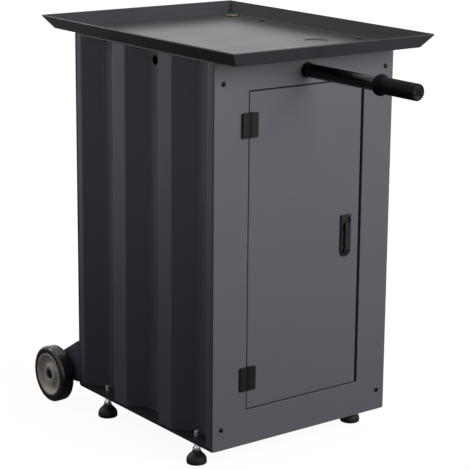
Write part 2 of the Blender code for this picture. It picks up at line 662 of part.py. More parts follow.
def hinge_leaf(name, sign, height, spans, metal, pivot):
    """One cast leaf: a plate on one side of the axis, with knuckles over its own spans of the height."""
    near, far = HINGE_X + sign * LEAF_STANDOFF, HINGE_X + sign * LEAF_WIDTH
    outline = rounded_rectangle(min(near, far), max(near, far), *height, LEAF_CORNER_RADIUS)
    face = FRONT_FACE - SEAT_GAP
    leaf = add_piece(name, prism("Y", outline, face - LEAF_THICKNESS, face), metal, pivot)
    axis = (HINGE_X, HINGE_Y)
    root = near + sign * LEAF_STANDOFF
    for span in spans:
        combine(leaf, rod("Z", axis, KNUCKLE_RADIUS, *span), "UNION", pivot)
        low = (min(HINGE_X, root), HINGE_Y - KNUCKLE_WEB / 2, span[0] + KNUCKLE_GAP)
        high = (max(HINGE_X, root), HINGE_Y + KNUCKLE_WEB / 2, span[1] - KNUCKLE_GAP)
        combine(leaf, box(low, high), "UNION", pivot)
    bore = rod("Z", axis, HINGE_PIN_RADIUS + RUNNING_CLEARANCE, height[0] - SHEET, height[1] + SHEET)
    combine(leaf, bore, "DIFFERENCE", pivot)


def hinges(metal, steel):
    """Two surface hinges: frame leaf with end knuckles, door leaf with a middle knuckle, and a headed pin."""
    for level, middle in HINGE_LEVELS.items():
        low, high = middle - HINGE_HEIGHT / 2, middle + HINGE_HEIGHT / 2
        half = HINGE_HEIGHT * KNUCKLE_SHARE / 2
        inner = [(middle - half, middle + half)]
        outer = [(low, middle - half - KNUCKLE_GAP), (middle + half + KNUCKLE_GAP, high)]
        hinge_leaf(f"{level}_hinge_frame_leaf", -1, (low, high), outer, metal, ROOT)
        hinge_leaf(f"{level}_hinge_door_leaf", 1, (low, high), inner, metal, "door_axis")
        head = high + SEAT_GAP
        profile = [
            (0, low), (HINGE_PIN_RADIUS, low), (HINGE_PIN_RADIUS, head), (HINGE_PIN_HEAD_RADIUS, head),
            (HINGE_PIN_HEAD_RADIUS, head + HINGE_PIN_HEAD_HEIGHT), (0, head + HINGE_PIN_HEAD_HEIGHT),
        ]
        pin = turned("Z", (HINGE_X, HINGE_Y, 0), profile, SMALL_SEGMENTS)
        add_piece(f"{level}_hinge_pin", pin, steel)


def latch_housing(plastic):
    """Latch plate on the door: flat top, round lower end and a finger pocket behind the lever's tip."""
    half = HOUSING_WIDTH / 2
    top = LATCH_Z + HOUSING_TOP
    outline = arc((LATCH_X, LATCH_Z), half, 180, 360, HALF_ROUND_STEPS)
    outline += [(LATCH_X + half, top), (LATCH_X - half, top)]
    plate = add_piece("latch_housing", prism("Y", outline, HOUSING_FRONT, HOUSING_BACK), plastic, "door_axis")
    hole = rod(
        "Y", (LATCH_X, LATCH_Z), SPINDLE_RADIUS + RUNNING_CLEARANCE,
        HOUSING_FRONT - SHEET, HOUSING_BACK + SHEET,
    )
    combine(plate, hole, "DIFFERENCE", "door_axis")
    high = top - POCKET_END_INSET
    pocket = box(
        (LATCH_X - POCKET_WIDTH / 2, HOUSING_FRONT - SHEET, high - POCKET_HEIGHT),
        (LATCH_X + POCKET_WIDTH / 2, HOUSING_FRONT + POCKET_DEPTH, high),
    )
    combine(plate, pocket, "DIFFERENCE", "door_axis")


def latch_spindle(steel):
    """Stepped spindle: slotted head in front, shank through the door, threaded end for the cam."""
    head_back = LEVER_BACK
    cam_end = CAM_BACK + 2 * SEAT_GAP + CAM_NUT_THICKNESS + CAM_STUD_SPARE
    shoulder = CAM_FRONT - SEAT_GAP
    profile = [
        (0, head_back - SPINDLE_HEAD_HEIGHT), (SPINDLE_HEAD_RADIUS, head_back - SPINDLE_HEAD_HEIGHT),
        (SPINDLE_HEAD_RADIUS, head_back), (SPINDLE_RADIUS, head_back), (SPINDLE_RADIUS, shoulder),
        (CAM_STUD_RADIUS, shoulder), (CAM_STUD_RADIUS, cam_end), (0, cam_end),
    ]
    shape = turned("Y", (LATCH_X, 0, LATCH_Z), profile, ROUND_SEGMENTS)
    spindle = add_piece("latch_spindle", shape, steel, "latch_axis")
    slot_half = LEVER_TONGUE_WIDTH / 2 + SEAT_GAP
    slot = box(
        (LATCH_X - slot_half, head_back - 2 * SPINDLE_HEAD_HEIGHT, LATCH_Z),
        (LATCH_X + slot_half, LEVER_BACK + SEAT_GAP / 2, LATCH_Z + 2 * SPINDLE_HEAD_RADIUS),
    )
    combine(spindle, slot, "DIFFERENCE", "latch_axis")
    reach = 2 * SPINDLE_HEAD_RADIUS
    pin_hole = rod(
        "X", (LEVER_PIN_Y, LEVER_PIN_Z), LEVER_PIN_RADIUS + HOLE_CLEARANCE, LATCH_X - reach, LATCH_X + reach,
    )
    combine(spindle, pin_hole, "DIFFERENCE", "latch_axis")


def latch_lever(plastic, steel):
    """Lift-and-turn lever with a round tip and a tongue on its pin, and the pin."""
    tip = (LATCH_X, LATCH_Z + LEVER_REACH - LEVER_WIDTH / 2)
    shoulder = LATCH_Z + LEVER_TONGUE
    outline = arc(tip, LEVER_WIDTH / 2, 0, 180, HALF_ROUND_STEPS)
    outline += [(LATCH_X - LEVER_WIDTH / 2, shoulder), (LATCH_X + LEVER_WIDTH / 2, shoulder)]
    lever = add_piece("latch_lever", prism("Y", outline, LEVER_FRONT, LEVER_BACK), plastic, "lever_axis")
    half = LEVER_TONGUE_WIDTH / 2
    tongue = box(
        (LATCH_X - half, LEVER_FRONT, LEVER_PIN_Z), (LATCH_X + half, LEVER_BACK, shoulder + LEVER_THICKNESS),
    )
    combine(lever, tongue, "UNION", "lever_axis")
    eye = rod(
        "X", (LEVER_PIN_Y, LEVER_PIN_Z), LEVER_THICKNESS / 2, LATCH_X - half, LATCH_X + half, ROUND_SEGMENTS,
    )
    combine(lever, eye, "UNION", "lever_axis")
    bore = rod(
        "X", (LEVER_PIN_Y, LEVER_PIN_Z), LEVER_PIN_RADIUS + RUNNING_CLEARANCE,
        LATCH_X - LEVER_WIDTH, LATCH_X + LEVER_WIDTH,
    )
    combine(lever, bore, "DIFFERENCE", "lever_axis")
    pin_half = math.sqrt(SPINDLE_HEAD_RADIUS ** 2 - LEVER_PIN_RISE ** 2) - LEVER_PIN_RADIUS
    pin = rod("X", (LEVER_PIN_Y, LEVER_PIN_Z), LEVER_PIN_RADIUS, LATCH_X - pin_half, LATCH_X + pin_half)
    add_piece("latch_lever_pin", pin, steel, "latch_axis")


def latch_cam(steel):
    """Cam on the spindle's inner end, hanging down when released, and its nut."""
    half = CAM_WIDTH / 2
    end = (LATCH_X, LATCH_Z - CAM_LENGTH + half)
    outline = arc((LATCH_X, LATCH_Z), half, 0, 180, HALF_ROUND_STEPS)
    outline += arc(end, half, 180, 360, HALF_ROUND_STEPS)
    cam = add_piece("latch_cam", prism("Y", outline, CAM_FRONT, CAM_BACK), steel, "latch_axis")
    axis = (LATCH_X, LATCH_Z)
    hole = rod("Y", axis, CAM_STUD_RADIUS + HOLE_CLEARANCE, CAM_FRONT - SHEET, CAM_BACK + SHEET)
    combine(cam, hole, "DIFFERENCE", "latch_axis")
    low = CAM_BACK + SEAT_GAP
    high = low + CAM_NUT_THICKNESS
    nut = add_piece("latch_cam_nut", hexagon("Y", axis, CAM_NUT_ACROSS_FLATS, low, high), steel, "latch_axis")
    thread = rod("Y", axis, CAM_STUD_RADIUS + HOLE_CLEARANCE, low - SHEET, high + SHEET)
    combine(nut, thread, "DIFFERENCE", "latch_axis")


def handle(tube_paint, rubber, steel):
    """Pull-out handle: a tube with a flanged grip outside and a stop ring inside."""
    axis = (0, HANDLE_Z)
    inner_end = STOP_RING_BACK + TUBE_TAIL
    outer_end = HANDLE_END + GRIP_END + SEAT_GAP
    shape = tube("Y", axis, TUBE_RADIUS - TUBE_WALL, TUBE_RADIUS, outer_end, inner_end)
    add_piece("handle_tube", shape, tube_paint, "handle_axis")
    seat = TUBE_RADIUS + SEAT_GAP
    end = HANDLE_END
    bulge = GRIP_FLANGE_RADIUS - GRIP_RADIUS
    profile = [
        (0, end + GRIP_END), (seat, end + GRIP_END), (seat, GRIP_INNER), (GRIP_RADIUS, GRIP_INNER),
        (GRIP_RADIUS + bulge * 0.75, GRIP_INNER - GRIP_FLANGE * 0.15),
        (GRIP_FLANGE_RADIUS, GRIP_INNER - GRIP_FLANGE * 0.35),
        (GRIP_FLANGE_RADIUS, GRIP_INNER - GRIP_FLANGE * 0.5),
        (GRIP_RADIUS + bulge * 0.6, GRIP_INNER - GRIP_FLANGE * 0.75), (GRIP_RADIUS, GRIP_INNER - GRIP_FLANGE),
        (GRIP_RADIUS, end + GRIP_END_ROUND), (GRIP_RADIUS - GRIP_END_ROUND / 3, end + GRIP_END_ROUND / 3),
        (GRIP_RADIUS - GRIP_END_ROUND, end), (GRIP_DIMPLE_RADIUS, end),
        (GRIP_DIMPLE_RADIUS, end + GRIP_DIMPLE_DEPTH), (0, end + GRIP_DIMPLE_DEPTH),
    ]
    add_piece("handle_grip", turned("Y", (0, 0, HANDLE_Z), profile, ROUND_SEGMENTS), rubber, "handle_axis")
    ring = tube("Y", axis, seat, TUBE_RADIUS + STOP_RING_WALL, STOP_RING_FRONT, STOP_RING_BACK)
    add_piece("handle_stop_ring", ring, steel, "handle_axis")


def handle_guides(nylon, paint):
    """Flanged bush in the front panel and a bracket that hangs from the top plate behind it."""
    bore = TUBE_RADIUS + RUNNING_CLEARANCE
    seat = FRONT_FACE + SHEET + SEAT_GAP
    profile = [
        (bore, FRONT_FACE), (BUSH_RADIUS, FRONT_FACE), (BUSH_RADIUS, seat), (BUSH_RADIUS + BUSH_FLANGE, seat),
        (BUSH_RADIUS + BUSH_FLANGE, seat + BUSH_FLANGE_THICKNESS), (bore, seat + BUSH_FLANGE_THICKNESS),
    ]
    add_piece("handle_bush", turned("Y", (0, 0, HANDLE_Z), profile, ROUND_SEGMENTS), nylon)
    foot_top = TOP_PLATE_LOW - SEAT_GAP
    path = [
        (GUIDE_BACK - GUIDE_FOOT, foot_top), (GUIDE_BACK, foot_top),
        (GUIDE_BACK, HANDLE_Z - TUBE_RADIUS - GUIDE_MARGIN),
    ]
    half = GUIDE_WIDTH / 2
    shape = strip("X", filleted(path, BEND_RADIUS), -half, half)
    bracket = add_sheet("handle_guide_bracket", shape, GUIDE_SHEET, (0, FRONT_FACE, GROUND_CLEARANCE), paint)
    hole = rod("Y", (0, HANDLE_Z), bore, GUIDE_FRONT - GUIDE_SHEET, GUIDE_BACK + GUIDE_SHEET, ROUND_SEGMENTS)
    combine(bracket, hole, "DIFFERENCE")


def wheel_bracket(side, sign, paint):
    """Folded bracket: a flange on the back panel and an ear that carries the axle, with a sloping top."""
    low, high = AXLE_Z - BRACKET_BELOW_AXLE, AXLE_Z + BRACKET_TOP_RISE
    rear = AXLE_Y + BRACKET_PAST_AXLE
    seat = BACK_FACE + SEAT_GAP
    path = [(HALF_WIDTH - BRACKET_FLANGE, seat), (HALF_WIDTH, seat), (HALF_WIDTH, rear)]
    path = [(sign * x, y) for x, y in filleted(path, BEND_RADIUS + BRACKET_SHEET)]
    shape = strip("Z", path, min(low, BASE_TOP) - SHEET, high + SHEET)
    bracket = add_sheet(f"{side}_wheel_bracket", shape, BRACKET_SHEET, (0, REAR_REACH, AXLE_Z), paint)
    start = BACK_FACE - SHEET
    corners = [
        (start, BASE_TOP), (seat + BRACKET_SHEET, BASE_TOP), (rear + SHEET, low),
        (rear + SHEET, AXLE_Z + BRACKET_END_RISE), (seat + BRACKET_SHEET, high), (start, high),
    ]
    outline = filleted(corners, BRACKET_CORNER_RADIUS)
    combine(bracket, prism("X", outline, -BODY_WIDTH, BODY_WIDTH), "INTERSECT")
    hole = rod("X", (AXLE_Y, AXLE_Z), AXLE_RADIUS + HOLE_CLEARANCE, *sorted((0, sign * BODY_WIDTH)))
    combine(bracket, hole, "DIFFERENCE")


def wheel(side, sign, rubber, plastic):
    """Rubber tyre on a dished plastic hub, whose boss has a recess for the head of the axle bolt."""
    pivot = f"{side}_wheel_axis"
    outer, inner = WHEEL_OUTER, WHEEL_INNER
    seat = HUB_RADIUS + SEAT_GAP
    tread = WHEEL_RADIUS - WHEEL_SHOULDER
    tyre = [(seat, inner), (tread, inner)]
    tyre += [(r, x) for x, r in arc((inner + WHEEL_SHOULDER, tread), WHEEL_SHOULDER, 150, 90, 2)]
    tyre += [(r, x) for x, r in arc((outer - WHEEL_SHOULDER, tread), WHEEL_SHOULDER, 90, 30, 2)]
    tyre += [(tread, outer), (seat, outer)]
    rim_inner = HUB_RADIUS - HUB_RIM
    web_outer = outer - HUB_DISH
    web_inner = web_outer - HUB_WEB
    bore = AXLE_RADIUS + RUNNING_CLEARANCE
    boss_outer = outer - BOSS_SETBACK
    recess = boss_outer - BOSS_RECESS_DEPTH
    fillet = HUB_WEB / 3
    hub = [
        (bore, inner), (BOSS_RADIUS, inner), (BOSS_RADIUS, web_inner),
        (rim_inner, web_inner), (rim_inner, inner),
        (HUB_RADIUS, inner), (HUB_RADIUS, outer), (rim_inner + fillet, outer), (rim_inner, outer - fillet),
        (rim_inner - fillet, web_outer), (BOSS_RADIUS + fillet, web_outer), (BOSS_RADIUS, boss_outer),
        (BOSS_RECESS_RADIUS, boss_outer), (BOSS_RECESS_RADIUS, recess), (bore, recess),
    ]
    for name, profile, material in (("tyre", tyre, rubber), ("hub", hub, plastic)):
        profile = [(radius, sign * x) for radius, x in profile]
        shape = turned("X", (0, AXLE_Y, AXLE_Z), profile, WHEEL_SEGMENTS)
        add_piece(f"{side}_wheel_{name}", shape, material, pivot)


def axle(side, sign, black_steel, zinc):
    """Axle bolt through hub, spacer and bracket, with its nut inside."""
    centre = (AXLE_Y, AXLE_Z)
    head_seat = WHEEL_OUTER - BOSS_SETBACK - BOSS_RECESS_DEPTH + SEAT_GAP
    nut_outer = HALF_WIDTH - BRACKET_SHEET - SEAT_GAP
    nut_inner = nut_outer - AXLE_NUT_HEIGHT
    end = nut_inner - AXLE_SPARE
    shank = rod("X", centre, AXLE_RADIUS, *sorted((sign * end, sign * head_seat)))
    bolt = add_piece(f"{side}_axle_bolt", shank, black_steel)
    head = sorted((sign * (head_seat - SEAT_GAP / 2), sign * (head_seat + AXLE_HEAD_HEIGHT)))
    combine(bolt, hexagon("X", centre, AXLE_HEAD_ACROSS_FLATS, *head), "UNION")
    hole = AXLE_RADIUS + HOLE_CLEARANCE
    seat = HALF_WIDTH + SEAT_GAP
    low, high = sorted((sign * seat, sign * (seat + SPACER_THICKNESS)))
    spacer = tube("X", centre, hole, SPACER_RADIUS, low, high, SMALL_SEGMENTS)
    add_piece(f"{side}_wheel_spacer", spacer, zinc)
    low, high = sorted((sign * nut_inner, sign * nut_outer))
    nut = add_piece(f"{side}_axle_nut", hexagon("X", centre, AXLE_NUT_ACROSS_FLATS, low, high), zinc)
    combine(nut, rod("X", centre, hole, low - SHEET, high + SHEET), "DIFFERENCE")


def foot(corner, place, rubber, zinc):
    """Levelling foot: bell-shaped pad, stud with a hex collar, and a lock nut under the base plate."""
    pivot = f"{corner}_foot_axis"
    bore = STUD_RADIUS + SEAT_GAP
    stud_low = PAD_HEIGHT - STUD_IN_PAD
    shoulder = PAD_EDGE + (PAD_HEIGHT - PAD_EDGE) * 0.45
    waist = PAD_NECK_RADIUS + (PAD_RADIUS - PAD_NECK_RADIUS) * 0.55
    pad = [
        (0, 0), (PAD_RADIUS * 0.9, 0), (PAD_RADIUS, PAD_EDGE * 0.3), (PAD_RADIUS, PAD_EDGE),
        (waist, shoulder), (PAD_NECK_RADIUS, PAD_HEIGHT - PAD_EDGE * 0.3),
        (PAD_NECK_RADIUS * 0.9, PAD_HEIGHT), (bore, PAD_HEIGHT),
        (bore, stud_low - SEAT_GAP), (0, stud_low - SEAT_GAP),
    ]
    add_piece(f"{corner}_foot_pad", turned("Z", (*place, 0), pad, SMALL_SEGMENTS), rubber, pivot)
    stud_high = BASE_TOP + STUD_ABOVE_BASE
    stud = add_piece(f"{corner}_foot_stud", rod("Z", place, STUD_RADIUS, stud_low, stud_high), zinc, pivot)
    collar = hexagon("Z", place, COLLAR_ACROSS_FLATS, COLLAR_LOW, COLLAR_LOW + COLLAR_HEIGHT)
    combine(stud, collar, "UNION", pivot)
    high = GROUND_CLEARANCE - SEAT_GAP
    low = high - LOCK_NUT_HEIGHT
    nut = add_piece(f"{corner}_foot_lock_nut", hexagon("Z", place, LOCK_NUT_ACROSS_FLATS, low, high), zinc)
    combine(nut, rod("Z", place, STUD_RADIUS + HOLE_CLEARANCE, low - SHEET, high + SHEET), "DIFFERENCE")


def add_pivots():
    """Adds the root empty, under the middle of the whole stand, and one on each joint axis."""
    root = bpy.data.objects.new(ROOT, None)
    bpy.context.scene.collection.objects.link(root)
    root.location = (0, -(HANDLE_END + REAR_REACH) / 2, 0)
    add_pivot("door_axis", (HINGE_X, HINGE_Y, DOOR_LOW), ROOT)
    add_pivot("latch_axis", (LATCH_X, FRONT_FACE, LATCH_Z), "door_axis")
    add_pivot("lever_axis", (LATCH_X, LEVER_PIN_Y, LEVER_PIN_Z), "latch_axis")
    add_pivot("handle_axis", (0, FRONT_FACE, HANDLE_Z), ROOT)
    for side, sign in (("left", -1), ("right", 1)):
        add_pivot(f"{side}_wheel_axis", (sign * WHEEL_OUTER, AXLE_Y, AXLE_Z), ROOT)
    for corner, (x, y) in tray_screw_places().items():
        add_pivot(f"{corner}_foot_axis", (x, y, 0), ROOT)


def main():
    clear_scene()
    add_pivots()
    paint = finish("anthracite_powder_coat", (0.11, 0.108, 0.12), 0.42)
    side_paint = finish("anthracite_side_panel_coat", (0.09, 0.088, 0.1), 0.42)
    tray_paint = finish("anthracite_tray_coat", (0.12, 0.12, 0.125), 0.32)
    black_metal = finish("black_cast_zinc", (0.02, 0.02, 0.02), 0.45)
    black_plastic = finish("black_moulded_nylon", (0.018, 0.018, 0.018), 0.5)
    black_tube = finish("black_enamelled_tube", (0.012, 0.012, 0.012), 0.3)
    black_rubber = finish("black_rubber", (0.015, 0.015, 0.015), 0.55)
    hub_plastic = finish("grey_moulded_hub", (0.27, 0.25, 0.235), 0.5)
    black_screw = finish("black_oxide_steel", (0.02, 0.02, 0.022), 0.4, 0.8)
    zinc = finish("zinc_plated_steel", (0.62, 0.62, 0.6), 0.3, 1.0)
    brass = finish("turned_brass", (0.62, 0.48, 0.22), 0.3, 1.0)
    base_plate(paint)
    top_plate(paint)
    back_panel(paint)
    front_panel(paint)
    front_panel_screws(black_screw)
    tray(tray_paint)
    tray_screws(black_screw)
    drain(brass)
    door(paint)
    hinges(black_metal, black_screw)
    latch_housing(black_plastic)
    latch_spindle(black_metal)
    latch_lever(black_plastic, zinc)
    latch_cam(zinc)
    handle(black_tube, black_rubber, zinc)
    handle_guides(black_plastic, paint)
    for side, sign in (("left", -1), ("right", 1)):
        side_panel(side, sign, side_paint)
        wheel_bracket(side, sign, side_paint)
        wheel(side, sign, black_rubber, hub_plastic)
        axle(side, sign, black_screw, zinc)
    for corner, place in tray_screw_places().items():
        foot(corner, place, black_rubber, zinc)


main()
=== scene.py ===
"""Looks of a machine stand: a corrugated steel cabinet with a drip tray, door, handle, wheels and feet.

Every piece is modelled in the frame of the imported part, in metres with +Z up, and rides on one of its bodies.
"""

import logging
import math
from collections.abc import Callable, Sequence
from dataclasses import dataclass, field
from enum import Enum
from typing import Any

import bmesh
import bpy
from mathutils import Matrix, Vector


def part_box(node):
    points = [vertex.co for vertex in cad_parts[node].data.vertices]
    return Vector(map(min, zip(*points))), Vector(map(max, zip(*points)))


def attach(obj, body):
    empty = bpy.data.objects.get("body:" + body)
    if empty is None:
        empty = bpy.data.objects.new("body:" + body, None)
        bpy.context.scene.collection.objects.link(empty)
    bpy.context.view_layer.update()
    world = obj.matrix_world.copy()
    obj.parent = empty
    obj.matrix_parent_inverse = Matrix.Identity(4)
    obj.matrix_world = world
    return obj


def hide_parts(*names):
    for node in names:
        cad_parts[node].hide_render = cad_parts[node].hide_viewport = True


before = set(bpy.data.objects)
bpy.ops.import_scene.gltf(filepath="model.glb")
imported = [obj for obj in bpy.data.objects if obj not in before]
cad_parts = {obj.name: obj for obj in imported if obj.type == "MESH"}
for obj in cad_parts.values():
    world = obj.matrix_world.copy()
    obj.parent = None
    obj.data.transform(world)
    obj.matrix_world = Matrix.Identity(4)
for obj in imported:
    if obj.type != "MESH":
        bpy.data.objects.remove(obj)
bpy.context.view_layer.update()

MM = 0.001
# Millimetres between pieces that rest on each other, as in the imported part.
SEAT_GAP = 0.3
# Points closer than this lie at the same level.
NEAR = 0.01 * MM
# Millimetres by which a cutting shape passes the face that it goes through.
SPARE = 1.0
CABINET_Y = (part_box("front_panel")[0].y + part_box("back_panel")[1].y) / 2
log = logging.getLogger("machine_stand")

Pair = tuple[float, float]
Triple = tuple[float, float, float]


def at(x: float, y: float, z: float) -> Vector:
    """Turns millimetres from the middle of the cabinet and the floor into a place in the shared frame.

    Args:
        x: Millimetres to the right of the cabinet's middle.
        y: Millimetres behind the cabinet's middle.
        z: Millimetres above the floor.

    Returns:
        The place in metres.
    """
    return Vector((x * MM, y * MM + CABINET_Y, z * MM))


def linear(code: str) -> tuple[float, float, float, float]:
    """Turns an sRGB hex colour into linear values.

    Args:
        code: Six hex digits after a hash sign.

    Returns:
        Red, green, blue and a full alpha.
    """
    channels = [int(code[start:start + 2], 16) / 255 for start in (1, 3, 5)]
    red, green, blue = [c / 12.92 if c <= 0.04045 else ((c + 0.055) / 1.055) ** 2.4 for c in channels]
    return red, green, blue, 1.0


def arc(centre: Pair, radius: float, start: float, end: float, steps: int) -> list[Pair]:
    """Points on a circular arc.

    Args:
        centre: Centre of the arc.
        radius: Radius of the arc.
        start: First angle in degrees.
        end: Last angle in degrees.
        steps: How many straight steps the arc has.

    Returns:
        The points, both ends included.
    """
    angles = [math.radians(start + (end - start) * step / steps) for step in range(steps + 1)]
    return [(centre[0] + radius * math.cos(a), centre[1] + radius * math.sin(a)) for a in angles]


def rounded_rectangle(low: Pair, high: Pair, radius: float) -> list[Pair]:
    """Outline of a rectangle with rounded corners.

    Args:
        low: Lowest corner.
        high: Highest corner.
        radius: Radius of the four corners.

    Returns:
        The outline's points in order.
    """
    left, right = low[0] + radius, high[0] - radius
    bottom, top = low[1] + radius, high[1] - radius
    corners = (((right, bottom), 270), ((right, top), 0), ((left, top), 90), ((left, bottom), 180))
    return [point for centre, start in corners for point in arc(centre, radius, start, start + 90, 6)]


class Axis(Enum):
    """Direction that a turned, extruded or folded piece runs along."""

    X = (1.0, 0.0, 0.0)
    Y = (0.0, 1.0, 0.0)
    Z = (0.0, 0.0, 1.0)

    @property
    def along(self) -> Vector:
        """Unit vector of the axis."""
        return Vector(self.value)

    @property
    def outward(self) -> Vector:
        """Unit vector square to the axis."""
        return Vector((1, 0, 0)) if self is Axis.Z else Vector((0, 0, 1))

    def triple(self, first: float, second: float, level: float) -> Triple:
        """Puts two values across the axis and one along it in x, y, z order.

        Args:
            first: First value across the axis.
            second: Second value across the axis.
            level: Value along the axis.

        Returns:
            The three values in x, y, z order.
        """
        if self is Axis.X:
            return level, first, second
        if self is Axis.Y:
            return first, level, second
        return first, second, level


class Element(Enum):
    """Kind of mesh element that is selected in edit mode."""

    VERTEX = ("VERT", "verts")
    EDGE = ("EDGE", "edges")
    FACE = ("FACE", "faces")


def add_node(
    tree: bpy.types.NodeTree, kind: str, inputs: dict[Any, Any] | None = None, **settings: Any,
) -> bpy.types.Node:
    """Adds a shader node with its settings, values and links.

    Args:
        tree: Node tree that takes the node.
        kind: Blender's name of the node type.
        inputs: Value or source socket for each input, by name or number.
        settings: Properties of the node itself.

    Returns:
        The new node.
    """
    node = tree.nodes.new(kind)
    for key, value in settings.items():
        setattr(node, key, value)
    for key, value in (inputs or {}).items():
        if isinstance(value, bpy.types.NodeSocket):
            tree.links.new(value, node.inputs[key])
        else:
            node.inputs[key].default_value = value
    return node


@dataclass(frozen=True)
class Finish:
    """What a surface is made of, how it was made, and what that gives the eye.

    Sizes are in millimetres. Grain is the finest relief, patches are the slow changes of colour and gloss,
    and wear is the narrow band along edges that is mixed towards a paler colour: partly wear where handling
    has thinned or polished the surface, partly a painted edge highlight.
    """

    name: str
    slot: str
    colour: str
    shade: str
    wear_and_highlight_colour: str
    roughness: float
    spread: float
    grain: float
    relief: float
    patch: float
    edge: float
    wear_and_highlight: float
    metallic: float = 0.0
    ior: float = 1.5
    gloss: float = 0.5
    stretch: Triple = (1.0, 1.0, 1.0)

    def material(self) -> bpy.types.Material:
        """Makes the finish as a material, once.

        Returns:
            The material, the same one on every call.
        """
        found = bpy.data.materials.get(self.name)
        if found:
            return found
        made = bpy.data.materials.new(self.name)
        made.use_nodes = True
        tree = made.node_tree
        shader = tree.nodes["Principled BSDF"]
        place = add_node(tree, "ShaderNodeTexCoord").outputs["Object"]
        along = add_node(tree, "ShaderNodeMapping", {
            "Vector": place, "Scale": self.stretch,
        }).outputs["Vector"]
        grain = add_node(tree, "ShaderNodeTexNoise", {
            "Vector": along, "Scale": 1 / (self.grain * MM), "Detail": 2.0, "Roughness": 0.55,
        }).outputs["Fac"]
        patches = add_node(tree, "ShaderNodeTexNoise", {
            "Vector": place, "Scale": 1 / (self.patch * MM), "Detail": 4.0, "Roughness": 0.6,
        }).outputs["Fac"]
        span = {"Value": patches, "From Min": 0.3, "From Max": 0.7}
        amount = add_node(tree, "ShaderNodeMapRange", {
            **span, "To Min": 0.0, "To Max": 1.0,
        }).outputs["Result"]
        body = add_node(tree, "ShaderNodeMix", {
            "Factor": amount, 6: linear(self.colour), 7: linear(self.shade),
        }, data_type="RGBA").outputs[2]
        flat = add_node(tree, "ShaderNodeNewGeometry").outputs["Normal"]
        # Edges are mixed towards a paler colour: partly wear, partly a painted edge highlight.
        eased = add_node(tree, "ShaderNodeBevel", {"Radius": self.edge * MM}, samples=4).outputs["Normal"]
        likeness = add_node(tree, "ShaderNodeVectorMath", {
            0: flat, 1: eased,
        }, operation="DOT_PRODUCT").outputs["Value"]
        edges = add_node(tree, "ShaderNodeMapRange", {
            "Value": likeness, "From Min": 0.995, "From Max": 0.9, "To Min": 0.0, "To Max": self.wear_and_highlight,
        }).outputs["Result"]
        wear_and_highlight_mask = add_node(tree, "ShaderNodeMath", {
            0: edges, 1: amount,
        }, operation="MULTIPLY").outputs["Value"]
        colour = add_node(tree, "ShaderNodeMix", {
            "Factor": wear_and_highlight_mask, 6: body, 7: linear(self.wear_and_highlight_colour),
        }, data_type="RGBA").outputs[2]
        gloss = add_node(tree, "ShaderNodeMapRange", {
            **span, "To Min": self.roughness - self.spread, "To Max": self.roughness + self.spread,
        }).outputs["Result"]
        relief = add_node(tree, "ShaderNodeBump", {
            "Height": grain, "Distance": self.relief * MM, "Strength": 1.0,
        }).outputs["Normal"]
        for socket, source in (("Base Color", colour), ("Roughness", gloss), ("Normal", relief)):
            tree.links.new(source, shader.inputs[socket])
        shader.inputs["Metallic"].default_value = self.metallic
        shader.inputs["IOR"].default_value = self.ior
        shader.inputs["Specular IOR Level"].default_value = self.gloss
        return made

    def dress(self, *pieces: bpy.types.Object) -> None:
        """Gives each object this finish as its only material.

        Args:
            pieces: Objects to dress.
        """
        for piece in pieces:
            piece.data.materials.clear()
            piece.data.materials.append(self.material())

    def dress_nodes(self, *names: str) -> None:
        """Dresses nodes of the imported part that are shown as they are."""
        self.dress(*(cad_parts[name] for name in names))


# Powder coat on sheet steel, baked at 200 degrees: satin, with soft orange-peel dimples about 1 mm wide,
# drawn 3 mm wide so that they show, and a little thinner where it is drawn back from cut edges; those edges
# are painted paler, partly as a painted edge highlight.
SHEET_COAT = Finish(
    "anthracite_powder_coat", "anthracite_paint", "#605f66", "#5c5b62", "#7d7c82",
    roughness=0.42, spread=0.04, grain=3.0, relief=0.02, patch=120, edge=1.2, wear_and_highlight=0.5, gloss=0.4,
)
# The same coat on the corrugated sides and wheel brackets, made darker and a little bluer: a painted shade.
SHADED_SIDE_COAT = Finish(
    "anthracite_shaded_side_powder_coat", "anthracite_paint", "#575563", "#53515f", "#6b6a74",
    roughness=0.4, spread=0.04, grain=3.0, relief=0.02, patch=120, edge=1.2, wear_and_highlight=0.5, gloss=0.4,
)
# The same coat on the thick base plate, made almost black as a painted shade: flat and rough.
SHADED_BASE_COAT = Finish(
    "anthracite_shaded_base_powder_coat", "anthracite_paint", "#1c1b20", "#19181d", "#3a393f",
    roughness=0.6, spread=0.05, grain=3.0, relief=0.02, patch=120, edge=1.0, wear_and_highlight=0.4, gloss=0.2,
)
# The same coat on the tray, where it is laid on thicker and flows out smoother, so that it mirrors the room;
# its colour is darker than the front's, a painted shade, and its rim edges are paler, a painted highlight.
SHADED_TRAY_COAT = Finish(
    "anthracite_shaded_tray_powder_coat", "anthracite_paint", "#47464b", "#434247", "#78777d",
    roughness=0.2, spread=0.03, grain=3.0, relief=0.008, patch=140, edge=1.2, wear_and_highlight=0.6, gloss=0.06,
)
# Zinc die casting under black lacquer: a fine blasted grain, rubbed to a dull grey along its edges.
CAST_BLACK = Finish(
    "black_lacquered_zinc_casting", "black_cast_metal", "#181817", "#141413", "#3f3e3a",
    roughness=0.5, spread=0.06, grain=1.6, relief=0.03, patch=14, edge=0.8, wear_and_highlight=0.7, gloss=0.18,
)
# Glass-filled nylon from a spark-eroded mould: an even matte grain, with paler rubbed edges, partly a painted
# highlight.
BLACK_NYLON = Finish(
    "black_moulded_nylon", "black_plastic", "#181817", "#141413", "#6f6e68",
    roughness=0.45, spread=0.05, grain=1.2, relief=0.02, patch=18, edge=0.8, wear_and_highlight=0.6, gloss=0.3,
)
